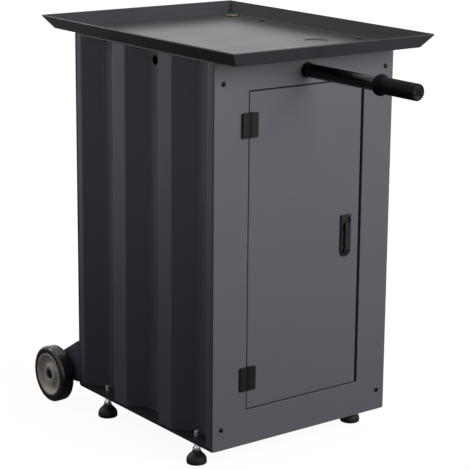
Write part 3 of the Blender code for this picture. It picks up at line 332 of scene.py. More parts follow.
# Drawn steel tube under black stove enamel: smooth and glossy, with faint long draw lines along the tube.
TUBE_ENAMEL = Finish(
    "black_enamelled_tube", "black_enamel", "#0a0b0b", "#080909", "#2a2a2b",
    roughness=0.25, spread=0.05, grain=2.0, relief=0.006, patch=60, edge=0.8, wear_and_highlight=0.4, gloss=0.25,
    stretch=(1.0, 0.05, 1.0),
)
# Moulded rubber: matte, a soft grain, and a slight grey bloom where it has been handled.
SOFT_RUBBER = Finish(
    "black_moulded_rubber", "black_rubber", "#242424", "#282828", "#62615e",
    roughness=0.48, spread=0.08, grain=1.2, relief=0.03, patch=10, edge=0.9, wear_and_highlight=0.8, gloss=0.2,
)
# The same rubber on the grip, darker and duller, with its end ring and other edges painted grey as a painted
# highlight.
GRIP_RUBBER = Finish(
    "black_grip_rubber_painted_highlight", "black_rubber", "#070707", "#0a0a0a", "#8a8984",
    roughness=0.55, spread=0.08, grain=1.2, relief=0.03, patch=10, edge=1.1, wear_and_highlight=1.0, gloss=0.05,
)
# Solid tyre rubber polished by its mould: deep black with sharp highlights and scuffs along the tread.
TYRE_RUBBER = Finish(
    "black_polished_tyre_rubber", "tyre_rubber", "#141414", "#1a1919", "#383736",
    roughness=0.24, spread=0.1, grain=2.4, relief=0.02, patch=16, edge=1.0, wear_and_highlight=0.5,
)
# Nylon moulded in warm grey: faint flow marks and a satin skin, with near-white painted along its edges,
# a painted highlight on the rim and the boss.
HUB_PLASTIC = Finish(
    "warm_grey_moulded_nylon", "grey_plastic", "#cdc7bf", "#c1bbb3", "#fcfaf6",
    roughness=0.4, spread=0.06, grain=1.6, relief=0.02, patch=22, edge=2.2, wear_and_highlight=1.0,
)
# Black oxide on screw steel: thin, oily and dark, wearing bright on the rim of the socket.
BLACK_OXIDE = Finish(
    "black_oxide_screw_steel", "black_screw_steel", "#242426", "#1d1d1f", "#9a9a98",
    roughness=0.36, spread=0.06, grain=0.8, relief=0.01, patch=6, edge=0.5, wear_and_highlight=0.8, metallic=1.0,
)
# Bright zinc plate on turned steel: silvery, slightly blue, with fine tool lines round the piece.
ZINC_PLATE = Finish(
    "bright_zinc_plated_steel", "zinc_steel", "#dcdddc", "#c8c9c8", "#f0f0ee",
    roughness=0.3, spread=0.08, grain=0.8, relief=0.01, patch=8, edge=0.5, wear_and_highlight=0.6, metallic=1.0,
)
# Brass turned on a lathe and left bare: a dark, dull brown, still bright on its edges.
BARE_BRASS = Finish(
    "turned_brass", "brass", "#5f543b", "#463d2c", "#9a8658",
    roughness=0.4, spread=0.1, grain=0.8, relief=0.01, patch=7, edge=0.6, wear_and_highlight=0.6, metallic=1.0,
)
CORNERS = {
    "front_left": (-200.0, -162.133), "front_right": (200.0, -162.133),
    "rear_left": (-200.0, 162.133), "rear_right": (200.0, 162.133),
}
SIDES = {"left": -1, "right": 1}
MIRROR = Matrix.Scale(-1, 4, (1, 0, 0))


def clear_selection() -> None:
    """Leaves edit mode and deselects everything."""
    if bpy.context.mode != "OBJECT":
        bpy.ops.object.mode_set(mode="OBJECT")
    bpy.ops.object.select_all(action="DESELECT")


@dataclass
class Workpiece:
    """A mesh that starts as a primitive and is shaped in edit mode, as by hand."""

    name: str
    body: bpy.types.Object

    @classmethod
    def start(cls, name: str, primitive: Callable[..., Any], **settings: Any) -> "Workpiece":
        """Adds a primitive, puts its place in its mesh and opens it in edit mode.

        Args:
            name: Name of the new piece.
            primitive: Blender operator that adds it.
            settings: Size and place for the operator.

        Returns:
            The piece, with all of it selected.
        """
        clear_selection()
        primitive(**settings)
        body = bpy.context.object
        body.name = name
        body.data.name = name
        bpy.ops.object.transform_apply(location=True, rotation=True, scale=True)
        bpy.ops.object.mode_set(mode="EDIT")
        bpy.ops.mesh.select_mode(type="VERT")
        bpy.ops.mesh.select_all(action="SELECT")
        return cls(name, body)

    @classmethod
    def path(cls, name: str, points: Sequence[Vector], closed: bool = False) -> "Workpiece":
        """Draws a line by extruding one vertex from point to point.

        Args:
            name: Name of the new piece.
            points: Points of the line.
            closed: Whether the last point is joined to the first.

        Returns:
            The piece, with all of it selected.
        """
        piece = cls.start(name, bpy.ops.mesh.primitive_plane_add, size=2 * MM, location=points[0])
        bpy.ops.mesh.merge(type="CENTER")
        for here, there in zip(points, points[1:]):
            bpy.ops.mesh.extrude_vertices_move(TRANSFORM_OT_translate={"value": Vector(there) - Vector(here)})
        if closed:
            last = len(points) - 1
            piece.select(Element.VERTEX, lambda vertex: vertex.index in (0, last))
            bpy.ops.mesh.edge_face_add()
        bpy.ops.mesh.select_all(action="SELECT")
        return piece

    @classmethod
    def turned(
        cls, name: str, axis: Axis, centre: Vector, profile: Sequence[Pair], steps: int = 64,
        closed: bool = False,
    ) -> "Workpiece":
        """Spins a profile about an axis.

        Args:
            name: Name of the new piece.
            axis: Direction of the axis.
            centre: A point on the axis.
            profile: Radius and level along the axis of each point, in millimetres.
            steps: How many steps the turn has.
            closed: Whether the profile is a ring that stays clear of the axis.

        Returns:
            The piece, in edit mode.
        """
        points = [centre + axis.along * level * MM + axis.outward * radius * MM for radius, level in profile]
        piece = cls.path(name, points, closed)
        bpy.ops.mesh.spin(steps=steps, angle=math.tau, center=centre, axis=axis.along)
        piece.clean()
        return piece

    @classmethod
    def plate(
        cls, name: str, axis: Axis, outline: Sequence[Pair], low: float, high: float,
    ) -> "Workpiece":
        """Fills an outline and extrudes it to a thickness.

        Args:
            name: Name of the new piece.
            axis: Direction of the thickness.
            outline: Points across the axis, in cabinet millimetres.
            low: Level of one face along the axis.
            high: Level of the other face.

        Returns:
            The piece, in edit mode.
        """
        points = [at(*axis.triple(first, second, low)) for first, second in outline]
        piece = cls.path(name, points, closed=True)
        bpy.ops.mesh.edge_face_add()
        piece.extrude(axis.along * (high - low) * MM)
        piece.clean()
        return piece

    def select(self, element: Element, test: Callable[[Any], bool]) -> None:
        """Selects the elements that pass a test, and nothing else.

        Args:
            element: Kind of element to select.
            test: Tells from a mesh element whether it is selected.
        """
        mode, group = element.value
        bpy.ops.mesh.select_mode(type=mode)
        bpy.ops.mesh.select_all(action="DESELECT")
        mesh = bmesh.from_edit_mesh(self.body.data)
        for found in getattr(mesh, group):
            if test(found):
                found.select_set(True)
        bmesh.update_edit_mesh(self.body.data)

    def extrude(self, offset: Vector) -> None:
        """Extrudes the selection and moves the new part."""
        bpy.ops.mesh.extrude_region_move(TRANSFORM_OT_translate={"value": offset})

    def walk(self, axis: Axis, centre: Vector, rings: Sequence[Triple]) -> None:
        """Extrudes the selected ring of edges along an axis and resizes it at each step.

        Args:
            axis: Direction that the rings follow.
            centre: A point on the middle line of the rings.
            rings: Two half sizes across the axis and the level of each ring, from the selected one on.
        """
        for (first, second, level), (wider, higher, further) in zip(rings, rings[1:]):
            self.extrude(axis.along * (further - level) * MM)
            factors = axis.triple(wider / first, higher / second, 1.0)
            bpy.ops.transform.resize(value=factors, center_override=centre)

    def clean(self) -> None:
        """Merges doubled points and turns the faces outwards."""
        bpy.ops.mesh.select_all(action="SELECT")
        bpy.ops.mesh.remove_doubles(threshold=0.002 * MM)
        bpy.ops.mesh.normals_make_consistent(inside=False)

    def face_away(self, inside: Vector) -> None:
        """Turns an open sheet so that its faces, taken together, look away from a point.

        Args:
            inside: The point that the sheet looks away from.
        """
        self.clean()
        mesh = bmesh.from_edit_mesh(self.body.data)
        facing = sum(
            face.calc_area() * face.normal.dot(inside - face.calc_center_median()) for face in mesh.faces
        )
        if facing > 0:
            bpy.ops.mesh.flip_normals()

    def bevel(self, width: float, segments: int) -> None:
        """Rounds the selected edges by a width in millimetres."""
        bpy.ops.mesh.bevel(offset=width * MM, segments=segments, profile=0.5, affect="EDGES")

    def modify(self, kind: str, **settings: Any) -> None:
        """Adds a modifier and applies it.

        Args:
            kind: Blender's name of the modifier type.
            settings: Properties of the modifier.
        """
        self.close()
        modifier = self.body.modifiers.new(kind.lower(), kind)
        for key, value in settings.items():
            setattr(modifier, key, value)
        bpy.ops.object.modifier_apply(modifier=modifier.name)

    def close(self) -> None:
        """Leaves edit mode with this piece active and alone in the selection."""
        clear_selection()
        self.body.select_set(True)
        bpy.context.view_layer.objects.active = self.body

    def thicken(self, thickness: float) -> None:
        """Gives an open sheet its thickness in millimetres, on the side away from its faces."""
        self.modify("SOLIDIFY", thickness=thickness * MM, offset=-1.0, use_even_offset=True)

    def round_edges(self, width: float, segments: int = 3, angle: float = 30.0) -> None:
        """Rounds every edge that turns by more than an angle.

        Args:
            width: Width of the rounding in millimetres.
            segments: Steps of the rounding.
            angle: Smallest turn in degrees that is rounded.
        """
        self.modify(
            "BEVEL", width=width * MM, segments=segments, limit_method="ANGLE",
            angle_limit=math.radians(angle), use_clamp_overlap=True,
        )

    def ease(self, width: float = 0.35) -> None:
        """Takes the sharpness off cut and moulded edges, in millimetres, and leaves the bends alone."""
        self.round_edges(width, segments=2, angle=50.0)

    def combine(self, other: "Workpiece", operation: str) -> None:
        """Joins another piece to this one or cuts it away, and removes the other piece.

        Args:
            other: The piece that is used up.
            operation: UNION, DIFFERENCE or INTERSECT.
        """
        other.close()
        self.modify("BOOLEAN", object=other.body, operation=operation, solver="EXACT")
        bpy.data.objects.remove(other.body, do_unlink=True)
        if not self.body.data.vertices:
            raise RuntimeError(f"{self.name} is empty after {operation}")

    def join(self, *others: "Workpiece") -> None:
        """Takes the meshes of other pieces into this one.

        Args:
            others: The pieces that are used up.
        """
        for other in others:
            other.close()
        self.close()
        for other in others:
            other.body.select_set(True)
        bpy.ops.object.join()

    def copy(self, name: str, move: Matrix) -> "Workpiece":
        """Copies the piece with a mesh of its own.

        Args:
            name: Name of the copy.
            move: How the copy's mesh is moved.

        Returns:
            The copy, in object mode.
        """
        self.close()
        body = self.body.copy()
        body.data = self.body.data.copy()
        body.name = name
        body.data.name = name
        bpy.context.scene.collection.objects.link(body)
        body.data.transform(move)
        if move.determinant() < 0:
            body.data.flip_normals()
        return Workpiece(name, body)

    def deliver(self, finish: Finish, body: str, *nodes: str, angle: float = 35.0) -> None:
        """Smooths and dresses the finished piece and sets it on its body.

        Args:
            finish: Surface of the piece.
            body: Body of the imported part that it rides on.
            nodes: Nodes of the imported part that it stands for.
            angle: Turn in degrees up to which faces are shaded as one.
        """
        self.close()
        bpy.ops.object.shade_smooth_by_angle(angle=math.radians(angle))
        self.modify("WEIGHTED_NORMAL", keep_sharp=True, weight=100)
        finish.dress(self.body)
        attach(self.body, body)
        if nodes:
            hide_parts(*nodes)
        log.info("%s rides on %s: %d faces", self.name, body, len(self.body.data.polygons))


@dataclass
class Fitting:
    """A finished piece, its surface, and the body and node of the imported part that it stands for."""

    piece: Workpiece
    finish: Finish
    body: str
    node: str
    angle: float = 35.0

    def install(self, word: str = "", moves: dict[str, Matrix] | None = None) -> None:
        """Sets the piece on its body, and copies of it, each with a mesh of its own, at other places.

        Args:
            word: Word in the piece's names that every copy changes.
            moves: New word of each copy, and how its mesh is moved.
        """
        made = {word: self.piece}
        for new, move in (moves or {}).items():
            made[new] = self.piece.copy(self.piece.name.replace(word, new), move)
        for new, piece in made.items():
            body, node = (name.replace(word, new) for name in (self.body, self.node))
            piece.deliver(self.finish, body, node, angle=self.angle)


def spread(places: dict[str, Vector]) -> dict[str, Matrix]:
    """Moves from the first of some named places to each of the others.

    Args:
        places: Where a repeated piece stands.

    Returns:
        The move to each place but the first.
    """
    home, *others = places.items()
    return {name: Matrix.Translation(place - home[1]) for name, place in others}


def hexagon(centre: Pair, across_flats: float) -> list[Pair]:
    """Outline of a hexagon with a corner on the first axis.

    Args:
        centre: Middle of the hexagon.
        across_flats: Distance between two opposite sides.

    Returns:
        Its six corners.
    """
    return arc(centre, across_flats / math.sqrt(3), 0, 300, 5)


def drill(
    name: str, axis: Axis, centre: Vector, radius: float, low: float, high: float, steps: int = 48,
) -> Workpiece:
    """A plain cylinder that cuts a round hole.

    Args:
        name: Name of the piece.
        axis: Direction of the hole.
        centre: A point on the axis.
        radius: Radius of the hole in millimetres.
        low: Level of one end.
        high: Level of the other end.
        steps: How many steps the hole's round has.

    Returns:
        The cutting shape.
    """
    profile = [(0, low), (radius, low), (radius, high), (0, high)]
    return Workpiece.turned(name, axis, centre, profile, steps)


def hex_nut(
    name: str, axis: Axis, centre: Pair, *, across: float, low: float, high: float, bore: float = 0.0,
) -> Workpiece:
    """A nut, collar or bolt head with both faces chamfered at its corners.

    Args:
        name: Name of the piece.
        axis: Direction of the bore.
        centre: Place of the bore across the axis, in cabinet millimetres.
        across: Distance across the flats.
        low: Level of one face.
        high: Level of the other face.
        bore: Radius of the hole, or zero for a solid piece.

    Returns:
        The nut.
    """
    # The hexagon passes both ends of the barrel, because the cut can fail where faces share a plane.
    nut = Workpiece.plate(name, axis, hexagon(centre, across), low - SPARE, high + SPARE)
    corner = across / math.sqrt(3)
    rise = (corner - across / 2) * 0.7
    flat, widest = across * 0.48, corner * 1.02
    middle = at(*axis.triple(*centre, 0.0))
    barrel = Workpiece.turned(name + "_chamfer", axis, middle, [
        (0, low), (flat, low), (widest, low + rise), (widest, high - rise), (flat, high), (0, high),
    ])
    nut.combine(barrel, "INTERSECT")
    if bore:
        nut.combine(drill(name + "_bore", axis, middle, bore, low - SPARE, high + SPARE), "DIFFERENCE")
    nut.round_edges(0.25, 2)
    return nut


def thread(name: str, centre: Vector, radius: float, pitch: float, low: float, high: float) -> Workpiece:
    """A vertical screw thread, wound as a real helix with plain ends.

    Args:
        name: Name of the piece.
        centre: A point on the axis.
        radius: Outside radius in millimetres.
        pitch: Rise of one turn.
        low: Level of the lower end.
        high: Level of the upper end.

    Returns:
        The threaded rod.
    """
    turns = int((high - low) / pitch) - 1
    root = radius - 0.61 * pitch
    crest = [(root, 0.0), (root, 0.12), (radius, 0.44), (radius, 0.56), (root, 0.88), (root, 1.0)]
    start = low + (high - low - turns * pitch) / 2
    points = [centre + Vector((r * MM, 0, (start + share * pitch) * MM)) for r, share in crest]
    ridge = Workpiece.path(name, points)
    ridge.close()
    ridge.body.data.transform(Matrix.Translation(-centre))
    ridge.modify(
        "SCREW", axis="Z", angle=math.tau, screw_offset=pitch * MM, iterations=turns, steps=24,
        render_steps=24, use_merge_vertices=True, merge_threshold=NEAR, use_smooth_shade=True,
    )
    ridge.body.data.transform(Matrix.Translation(centre))
    tip, rod, taper = root - 0.4, root + 0.1, 0.6
    ridge.join(Workpiece.turned(name + "_core", Axis.Z, centre, [
        (0, low), (tip, low), (rod, low + taper), (rod, high - taper), (tip, high), (0, high),
    ], steps=32))
    return ridge


@dataclass
class ButtonScrew:
    """A button-head screw with a hexagon socket, sizes in millimetres."""

    head: float
    height: float
    shank: float
    length: float
    socket: float

    def build(self, name: str, axis: Axis, place: Pair, seat: float, out: int) -> Workpiece:
        """Models one screw.

        Args:
            name: Name of the piece.
            axis: Direction of the shank.
            place: Place of the shank across the axis, in cabinet millimetres.
            seat: Level that the head stands on.
            out: Sign of the side that the head is on.

        Returns:
            The screw.
        """
        shank = [(0, -self.length), (self.shank, -self.length), (self.shank, 0.0)]
        edge = self.height * 0.25
        dome = arc((0, 0), 1.0, 0, 90, 9)
        head = [(self.head * across, edge + (self.height - edge) * up) for across, up in dome]
        profile = [*shank, (self.head * 0.98, 0.0), *head]
        profile = [(max(radius, 0.0), seat + out * level) for radius, level in profile]
        screw = Workpiece.turned(name, axis, at(*axis.triple(*place, 0.0)), profile, steps=48)
        depth = self.height * 0.6
        ends = sorted((seat + out * (self.height - depth), seat + out * (self.height + SPARE)))
        key = Workpiece.plate(name + "_key", axis, hexagon(place, self.socket), *ends)
        screw.combine(key, "DIFFERENCE")
        screw.round_edges(0.15, 2, 40)
        return screw


@dataclass
class DripTray:
    """Flared tray on top of the cabinet, with its drain and screws. Sizes in cabinet millimetres."""

    half_width: float = 225.0
    half_depth: float = 313.0
    underside: float = 814.0
    rise: float = 26.0
    flare: float = 20.0
    sheet: float = 2.0
    bend: float = 4.0
    recess: Pair = (110.0, -133.0)
    recess_radius: float = 26.0
    recess_depth: float = 1.8
    drain: Pair = (202.0, 268.0)
    drain_radius: float = 10.3
    screw: ButtonScrew = field(default_factory=lambda: ButtonScrew(
        head=5.5, height=3.0, shank=3.0, length=14.6, socket=4.0,
    ))

    def build(self) -> None:
        """Builds the tray, its drain and its screws."""
        self.build_pan()
        self.build_drain()
        corner, place = next(iter(CORNERS.items()))
        name = f"tray_screw_{corner}"
        seat = self.underside + self.sheet + SEAT_GAP
        screw = self.screw.build(name + "_socket_head", Axis.Z, place, seat, out=1)
        moves = spread({other: at(*spot, 0) for other, spot in CORNERS.items()})
        Fitting(screw, BLACK_OXIDE, "stand", name).install(corner, moves)

    def build_pan(self) -> None:
        """Folds the tray from one sheet: a floor with a pressed recess, and a mitred rim."""
        turn = math.atan2(self.rise, self.flare)
        tangent = self.bend * math.tan(turn / 2)
        rings = []
        for step in range(6):
            angle = turn * step / 5
            out = self.bend * math.sin(angle) - tangent
            level = self.underside + self.bend * (1 - math.cos(angle))
            rings.append((self.half_width + out, self.half_depth + out, level))
        rings.append((self.half_width + self.flare, self.half_depth + self.flare, self.underside + self.rise))
        middle = at(0, 0, self.underside)
        pan = Workpiece.start("folded_drip_tray", bpy.ops.mesh.primitive_plane_add, size=2.0, location=middle)
        bpy.ops.transform.resize(value=(rings[0][0] * MM, rings[0][1] * MM, 1.0), center_override=middle)
        bpy.ops.mesh.delete(type="ONLY_FACE")
        bpy.ops.mesh.select_all(action="SELECT")
        pan.walk(Axis.Z, middle, rings)
        self.press_recess(pan)
        bpy.ops.mesh.primitive_circle_add(
            vertices=64, radius=self.drain_radius * MM, location=at(*self.drain, self.underside),
        )
        floor = self.underside * MM
        pan.select(Element.EDGE, lambda edge: len(edge.link_faces) < 2 and all(
            abs(vertex.co.z - floor) < NEAR for vertex in edge.verts
        ))
        bpy.ops.mesh.fill(use_beauty=True)
        pan.face_away(at(0, 0, self.underside + 200))
        pan.thicken(self.sheet)
        pan.ease()
        # The tray takes the darker copy of the coat, a painted shade, with painted highlights on its edges.
        pan.deliver(SHADED_TRAY_COAT, "stand", "tray")

    def press_recess(self, pan: Workpiece) -> None:
        """Adds the round recess to the tray's floor, with eased bends.

        Args:
            pan: The tray, in edit mode.
        """
        centre = at(*self.recess, self.underside)
        wall, high = self.recess_radius, self.underside
        rim, low = wall + 1.2, high - self.recess_depth
        bpy.ops.mesh.primitive_circle_add(vertices=72, radius=rim * MM, location=centre)
        profile = [
            (rim, high), (wall + 0.5, high - 0.2), (wall, high - 0.9), (wall - 0.3, low + 0.8),
            (wall - 0.8, low + 0.2), (wall - 1.6, low),
        ]
        pan.walk(Axis.Z, centre, [(radius, radius, level) for radius, level in profile])
        bpy.ops.mesh.edge_face_add()

    def build_drain(self) -> None:
        """Turns the drain fitting and its nut."""
        floor = self.underside + self.sheet
        seat, end = floor + SEAT_GAP, floor - 38
        bore, root, tail, flange = 7.0, 8.8, 10.0, 16.0
        profile = [(bore, end), (7.6, end)]
        for barb in (floor - 30.7, floor - 23.6):
            profile += [(tail, barb), (root, barb + 0.2)]
        profile += [(root, floor - 9.9), (tail, floor - 9.6), (tail, seat)]
        profile += [(flange - 0.4, seat), (flange, seat + 0.4), (flange, seat + 1.4)]
        profile += [(flange - 1.0, seat + 2.3), (13.6, seat + 2.5), (11.6, seat + 2.5), (10.6, seat + 1.6)]
        profile += [(9.6, seat + 1.2), (8.2, seat + 0.8), (bore, seat - 0.6)]
        fitting = Workpiece.turned(
            "drain_flange_and_hose_tail", Axis.Z, at(*self.drain, 0), profile, closed=True,
        )
        fitting.round_edges(0.2, 2, 40)
        fitting.deliver(BARE_BRASS, "stand", "drain_fitting")
        nut = hex_nut(
            "drain_clamp_nut", Axis.Z, self.drain, across=30.0, low=self.underside - 7.3,
            high=self.underside - SEAT_GAP, bore=self.drain_radius,
        )
        nut.deliver(BARE_BRASS, "stand", "drain_nut")


@dataclass
class Cabinet:
    """Box of the stand: corrugated sides, front panel and plates. Sizes in cabinet millimetres."""

    half_width: float = 220.0
    front: float = -242.5
    back: float = 242.5
    base: float = 50.0
    top: float = 813.7
    wall: Pair = (56.3, 809.4)
    sheet: float = 2.0
    end_crest: float = 20.0
    crest: float = 46.0
    depth: float = 33.0
    slope: float = 33.0
    flange: float = 30.0
    valleys: int = 3
    side_hole: Triple = (0.0, 784.0, 9.5)
    opening_sides: Pair = (-139.5, 146.0)
    opening: Pair = (121.0, 753.0)
    corner: float = 4.0
    jamb: float = 20.0
    jamb_bend: float = 1.5
    # Smallest and largest turn in degrees and the width of each kind of bend: flanges, then corrugations.
    side_bends: tuple[Triple, ...] = ((60.0, 120.0, 4.0), (20.0, 60.0, 2.2))
    handle_level: float = 780.5
    handle_hole: float = 16.05
    screw_places: Triple = (200.0, 93.0, 771.0)
    screw: ButtonScrew = field(default_factory=lambda: ButtonScrew(
        head=4.75, height=2.8, shank=2.5, length=10.6, socket=3.2,
    ))
    kept: tuple[str, ...] = ("top_plate", "back_panel", "handle_guide_bracket")

    def build(self) -> None:
        """Builds the walls and screws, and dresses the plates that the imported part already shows."""
        self.build_front()
        self.build_sides()
        self.build_screws()
        self.build_bush()
        # The base plate takes the almost black copy of the coat, a painted shade.
        SHADED_BASE_COAT.dress_nodes("base_plate")
        SHEET_COAT.dress_nodes(*self.kept)

    def build_front(self) -> None:
        """Folds the front panel round the door opening."""
        outline = rounded_rectangle((-self.half_width, self.base), (self.half_width, self.top), self.corner)
        panel = Workpiece.path("folded_front_panel", [at(x, self.front, z) for x, z in outline], closed=True)
        low, high = self.opening
        left, right = self.opening_sides
        middle = at((left + right) / 2, self.front, (low + high) / 2)
        bpy.ops.mesh.primitive_plane_add(size=2.0, location=middle, rotation=(math.pi / 2, 0, 0))
        half_width, half_height = (right - left) / 2, (high - low) / 2
        rings = []
        for step in range(5):
            angle = math.pi / 2 * step / 4
            gap = self.jamb_bend * (1 - math.sin(angle))
            level = self.front + self.jamb_bend * (1 - math.cos(angle))
            rings.append((half_width + gap, half_height + gap, level))
        rings.append((half_width, half_height, self.front + self.jamb))
        bpy.ops.transform.resize(value=(rings[0][0] * MM, 1.0, rings[0][1] * MM), center_override=middle)
        bpy.ops.mesh.delete(type="ONLY_FACE")
        reach = rings[0][0] * MM
        panel.select(Element.EDGE, lambda edge: all(
            abs(abs(vertex.co.x - middle.x) - reach) < NEAR for vertex in edge.verts
        ))
        panel.walk(Axis.Y, middle, rings)
        bpy.ops.mesh.primitive_circle_add(
            vertices=64, radius=self.handle_hole * MM, location=at(0, self.front, self.handle_level),
            rotation=(math.pi / 2, 0, 0),
        )
        face = self.front * MM + CABINET_Y
        panel.select(Element.EDGE, lambda edge: len(edge.link_faces) < 2 and all(
            abs(vertex.co.y - face) < NEAR for vertex in edge.verts
        ))
        bpy.ops.mesh.fill(use_beauty=True)
        panel.clean()
        mesh = bmesh.from_edit_mesh(panel.body.data)
        widest = max(mesh.faces, key=lambda found: found.calc_area())
        if widest.normal.y > 0:
            bpy.ops.mesh.flip_normals()
        panel.thicken(self.sheet)
        panel.ease()
        panel.deliver(SHEET_COAT, "stand", "front_panel")

    def corrugation(self) -> list[Pair]:
        """Outer face of a side panel seen from above, as outward distance and depth, front to rear.

        Returns:
            The corners of the folded sheet.
        """
        front, rear = self.front + self.sheet + SEAT_GAP, self.back - self.sheet - SEAT_GAP
        valley = (rear - front - 2 * self.end_crest - (self.valleys - 1) * self.crest) / self.valleys
        crest, floor = self.half_width, self.half_width - self.depth
        path = [(crest - self.flange, front), (crest, front)]
        start = front + self.end_crest
        for _ in range(self.valleys):
            path += [(crest, start), (floor, start + self.slope)]
            path += [(floor, start + valley - self.slope), (crest, start + valley)]
            start += valley + self.crest
        return path + [(crest, rear), (crest - self.flange, rear)]

    def build_sides(self) -> None:
        """Folds the left corrugated side panel, pierces its round hole and mirrors it to the right."""
        low, high = self.wall
        points = [at(-out, depth, low) for out, depth in self.corrugation()]
        panel = Workpiece.path("left_corrugated_side", points)
        panel.extrude(Vector((0, 0, (high - low) * MM)))
        for smallest, largest, width in self.side_bends:
            panel.select(Element.EDGE, lambda edge: len(edge.link_faces) == 2 and (
                smallest < math.degrees(edge.calc_face_angle()) <= largest
            ))
            panel.bevel(width, 5)
        panel.face_away(at(0, 0, 400))
        panel.thicken(self.sheet)
        depth, level, radius = self.side_hole
        floor, reach = self.half_width - self.depth, 10.0
        centre = at(0, depth, level)
        punch = drill("side_punch", Axis.X, centre, radius, reach - floor, -reach - floor, steps=64)
        panel.combine(punch, "DIFFERENCE")
        panel.ease()
        # The sides take the darker copy of the front's coat, a painted shade.
        Fitting(panel, SHADED_SIDE_COAT, "stand", "left_side_panel").install("left", {"right": MIRROR})

    def build_screws(self) -> None:
        """Models a screw of the front panel and copies it to the four corners."""
        across, low, high = self.screw_places
        places = {
            f"{level}_{side}": at(sign * across, 0, height)
            for level, height in (("lower", low), ("upper", high))
            for side, sign in SIDES.items()
        }
        name = "front_panel_screw_lower_left"
        seat = self.front - SEAT_GAP
        screw = self.screw.build(name + "_socket_head", Axis.Y, (-across, low), seat, out=-1)
        Fitting(screw, BLACK_OXIDE, "stand", name).install("lower_left", spread(places))

    def build_bush(self) -> None:
        """Turns the handle's bush."""
        bore, neck, collar = 13.75, 15.75, 19.75
        step, end = self.front + self.sheet + SEAT_GAP, self.front + 4.8
        bush = Workpiece.turned("handle_guide_bush", Axis.Y, at(0, 0, self.handle_level), [
            (bore, self.front), (neck, self.front), (neck, step), (collar, step), (collar, end), (bore, end),
        ], closed=True)
        bush.round_edges(0.3, 2)
        bush.deliver(BLACK_NYLON, "stand", "handle_bush")


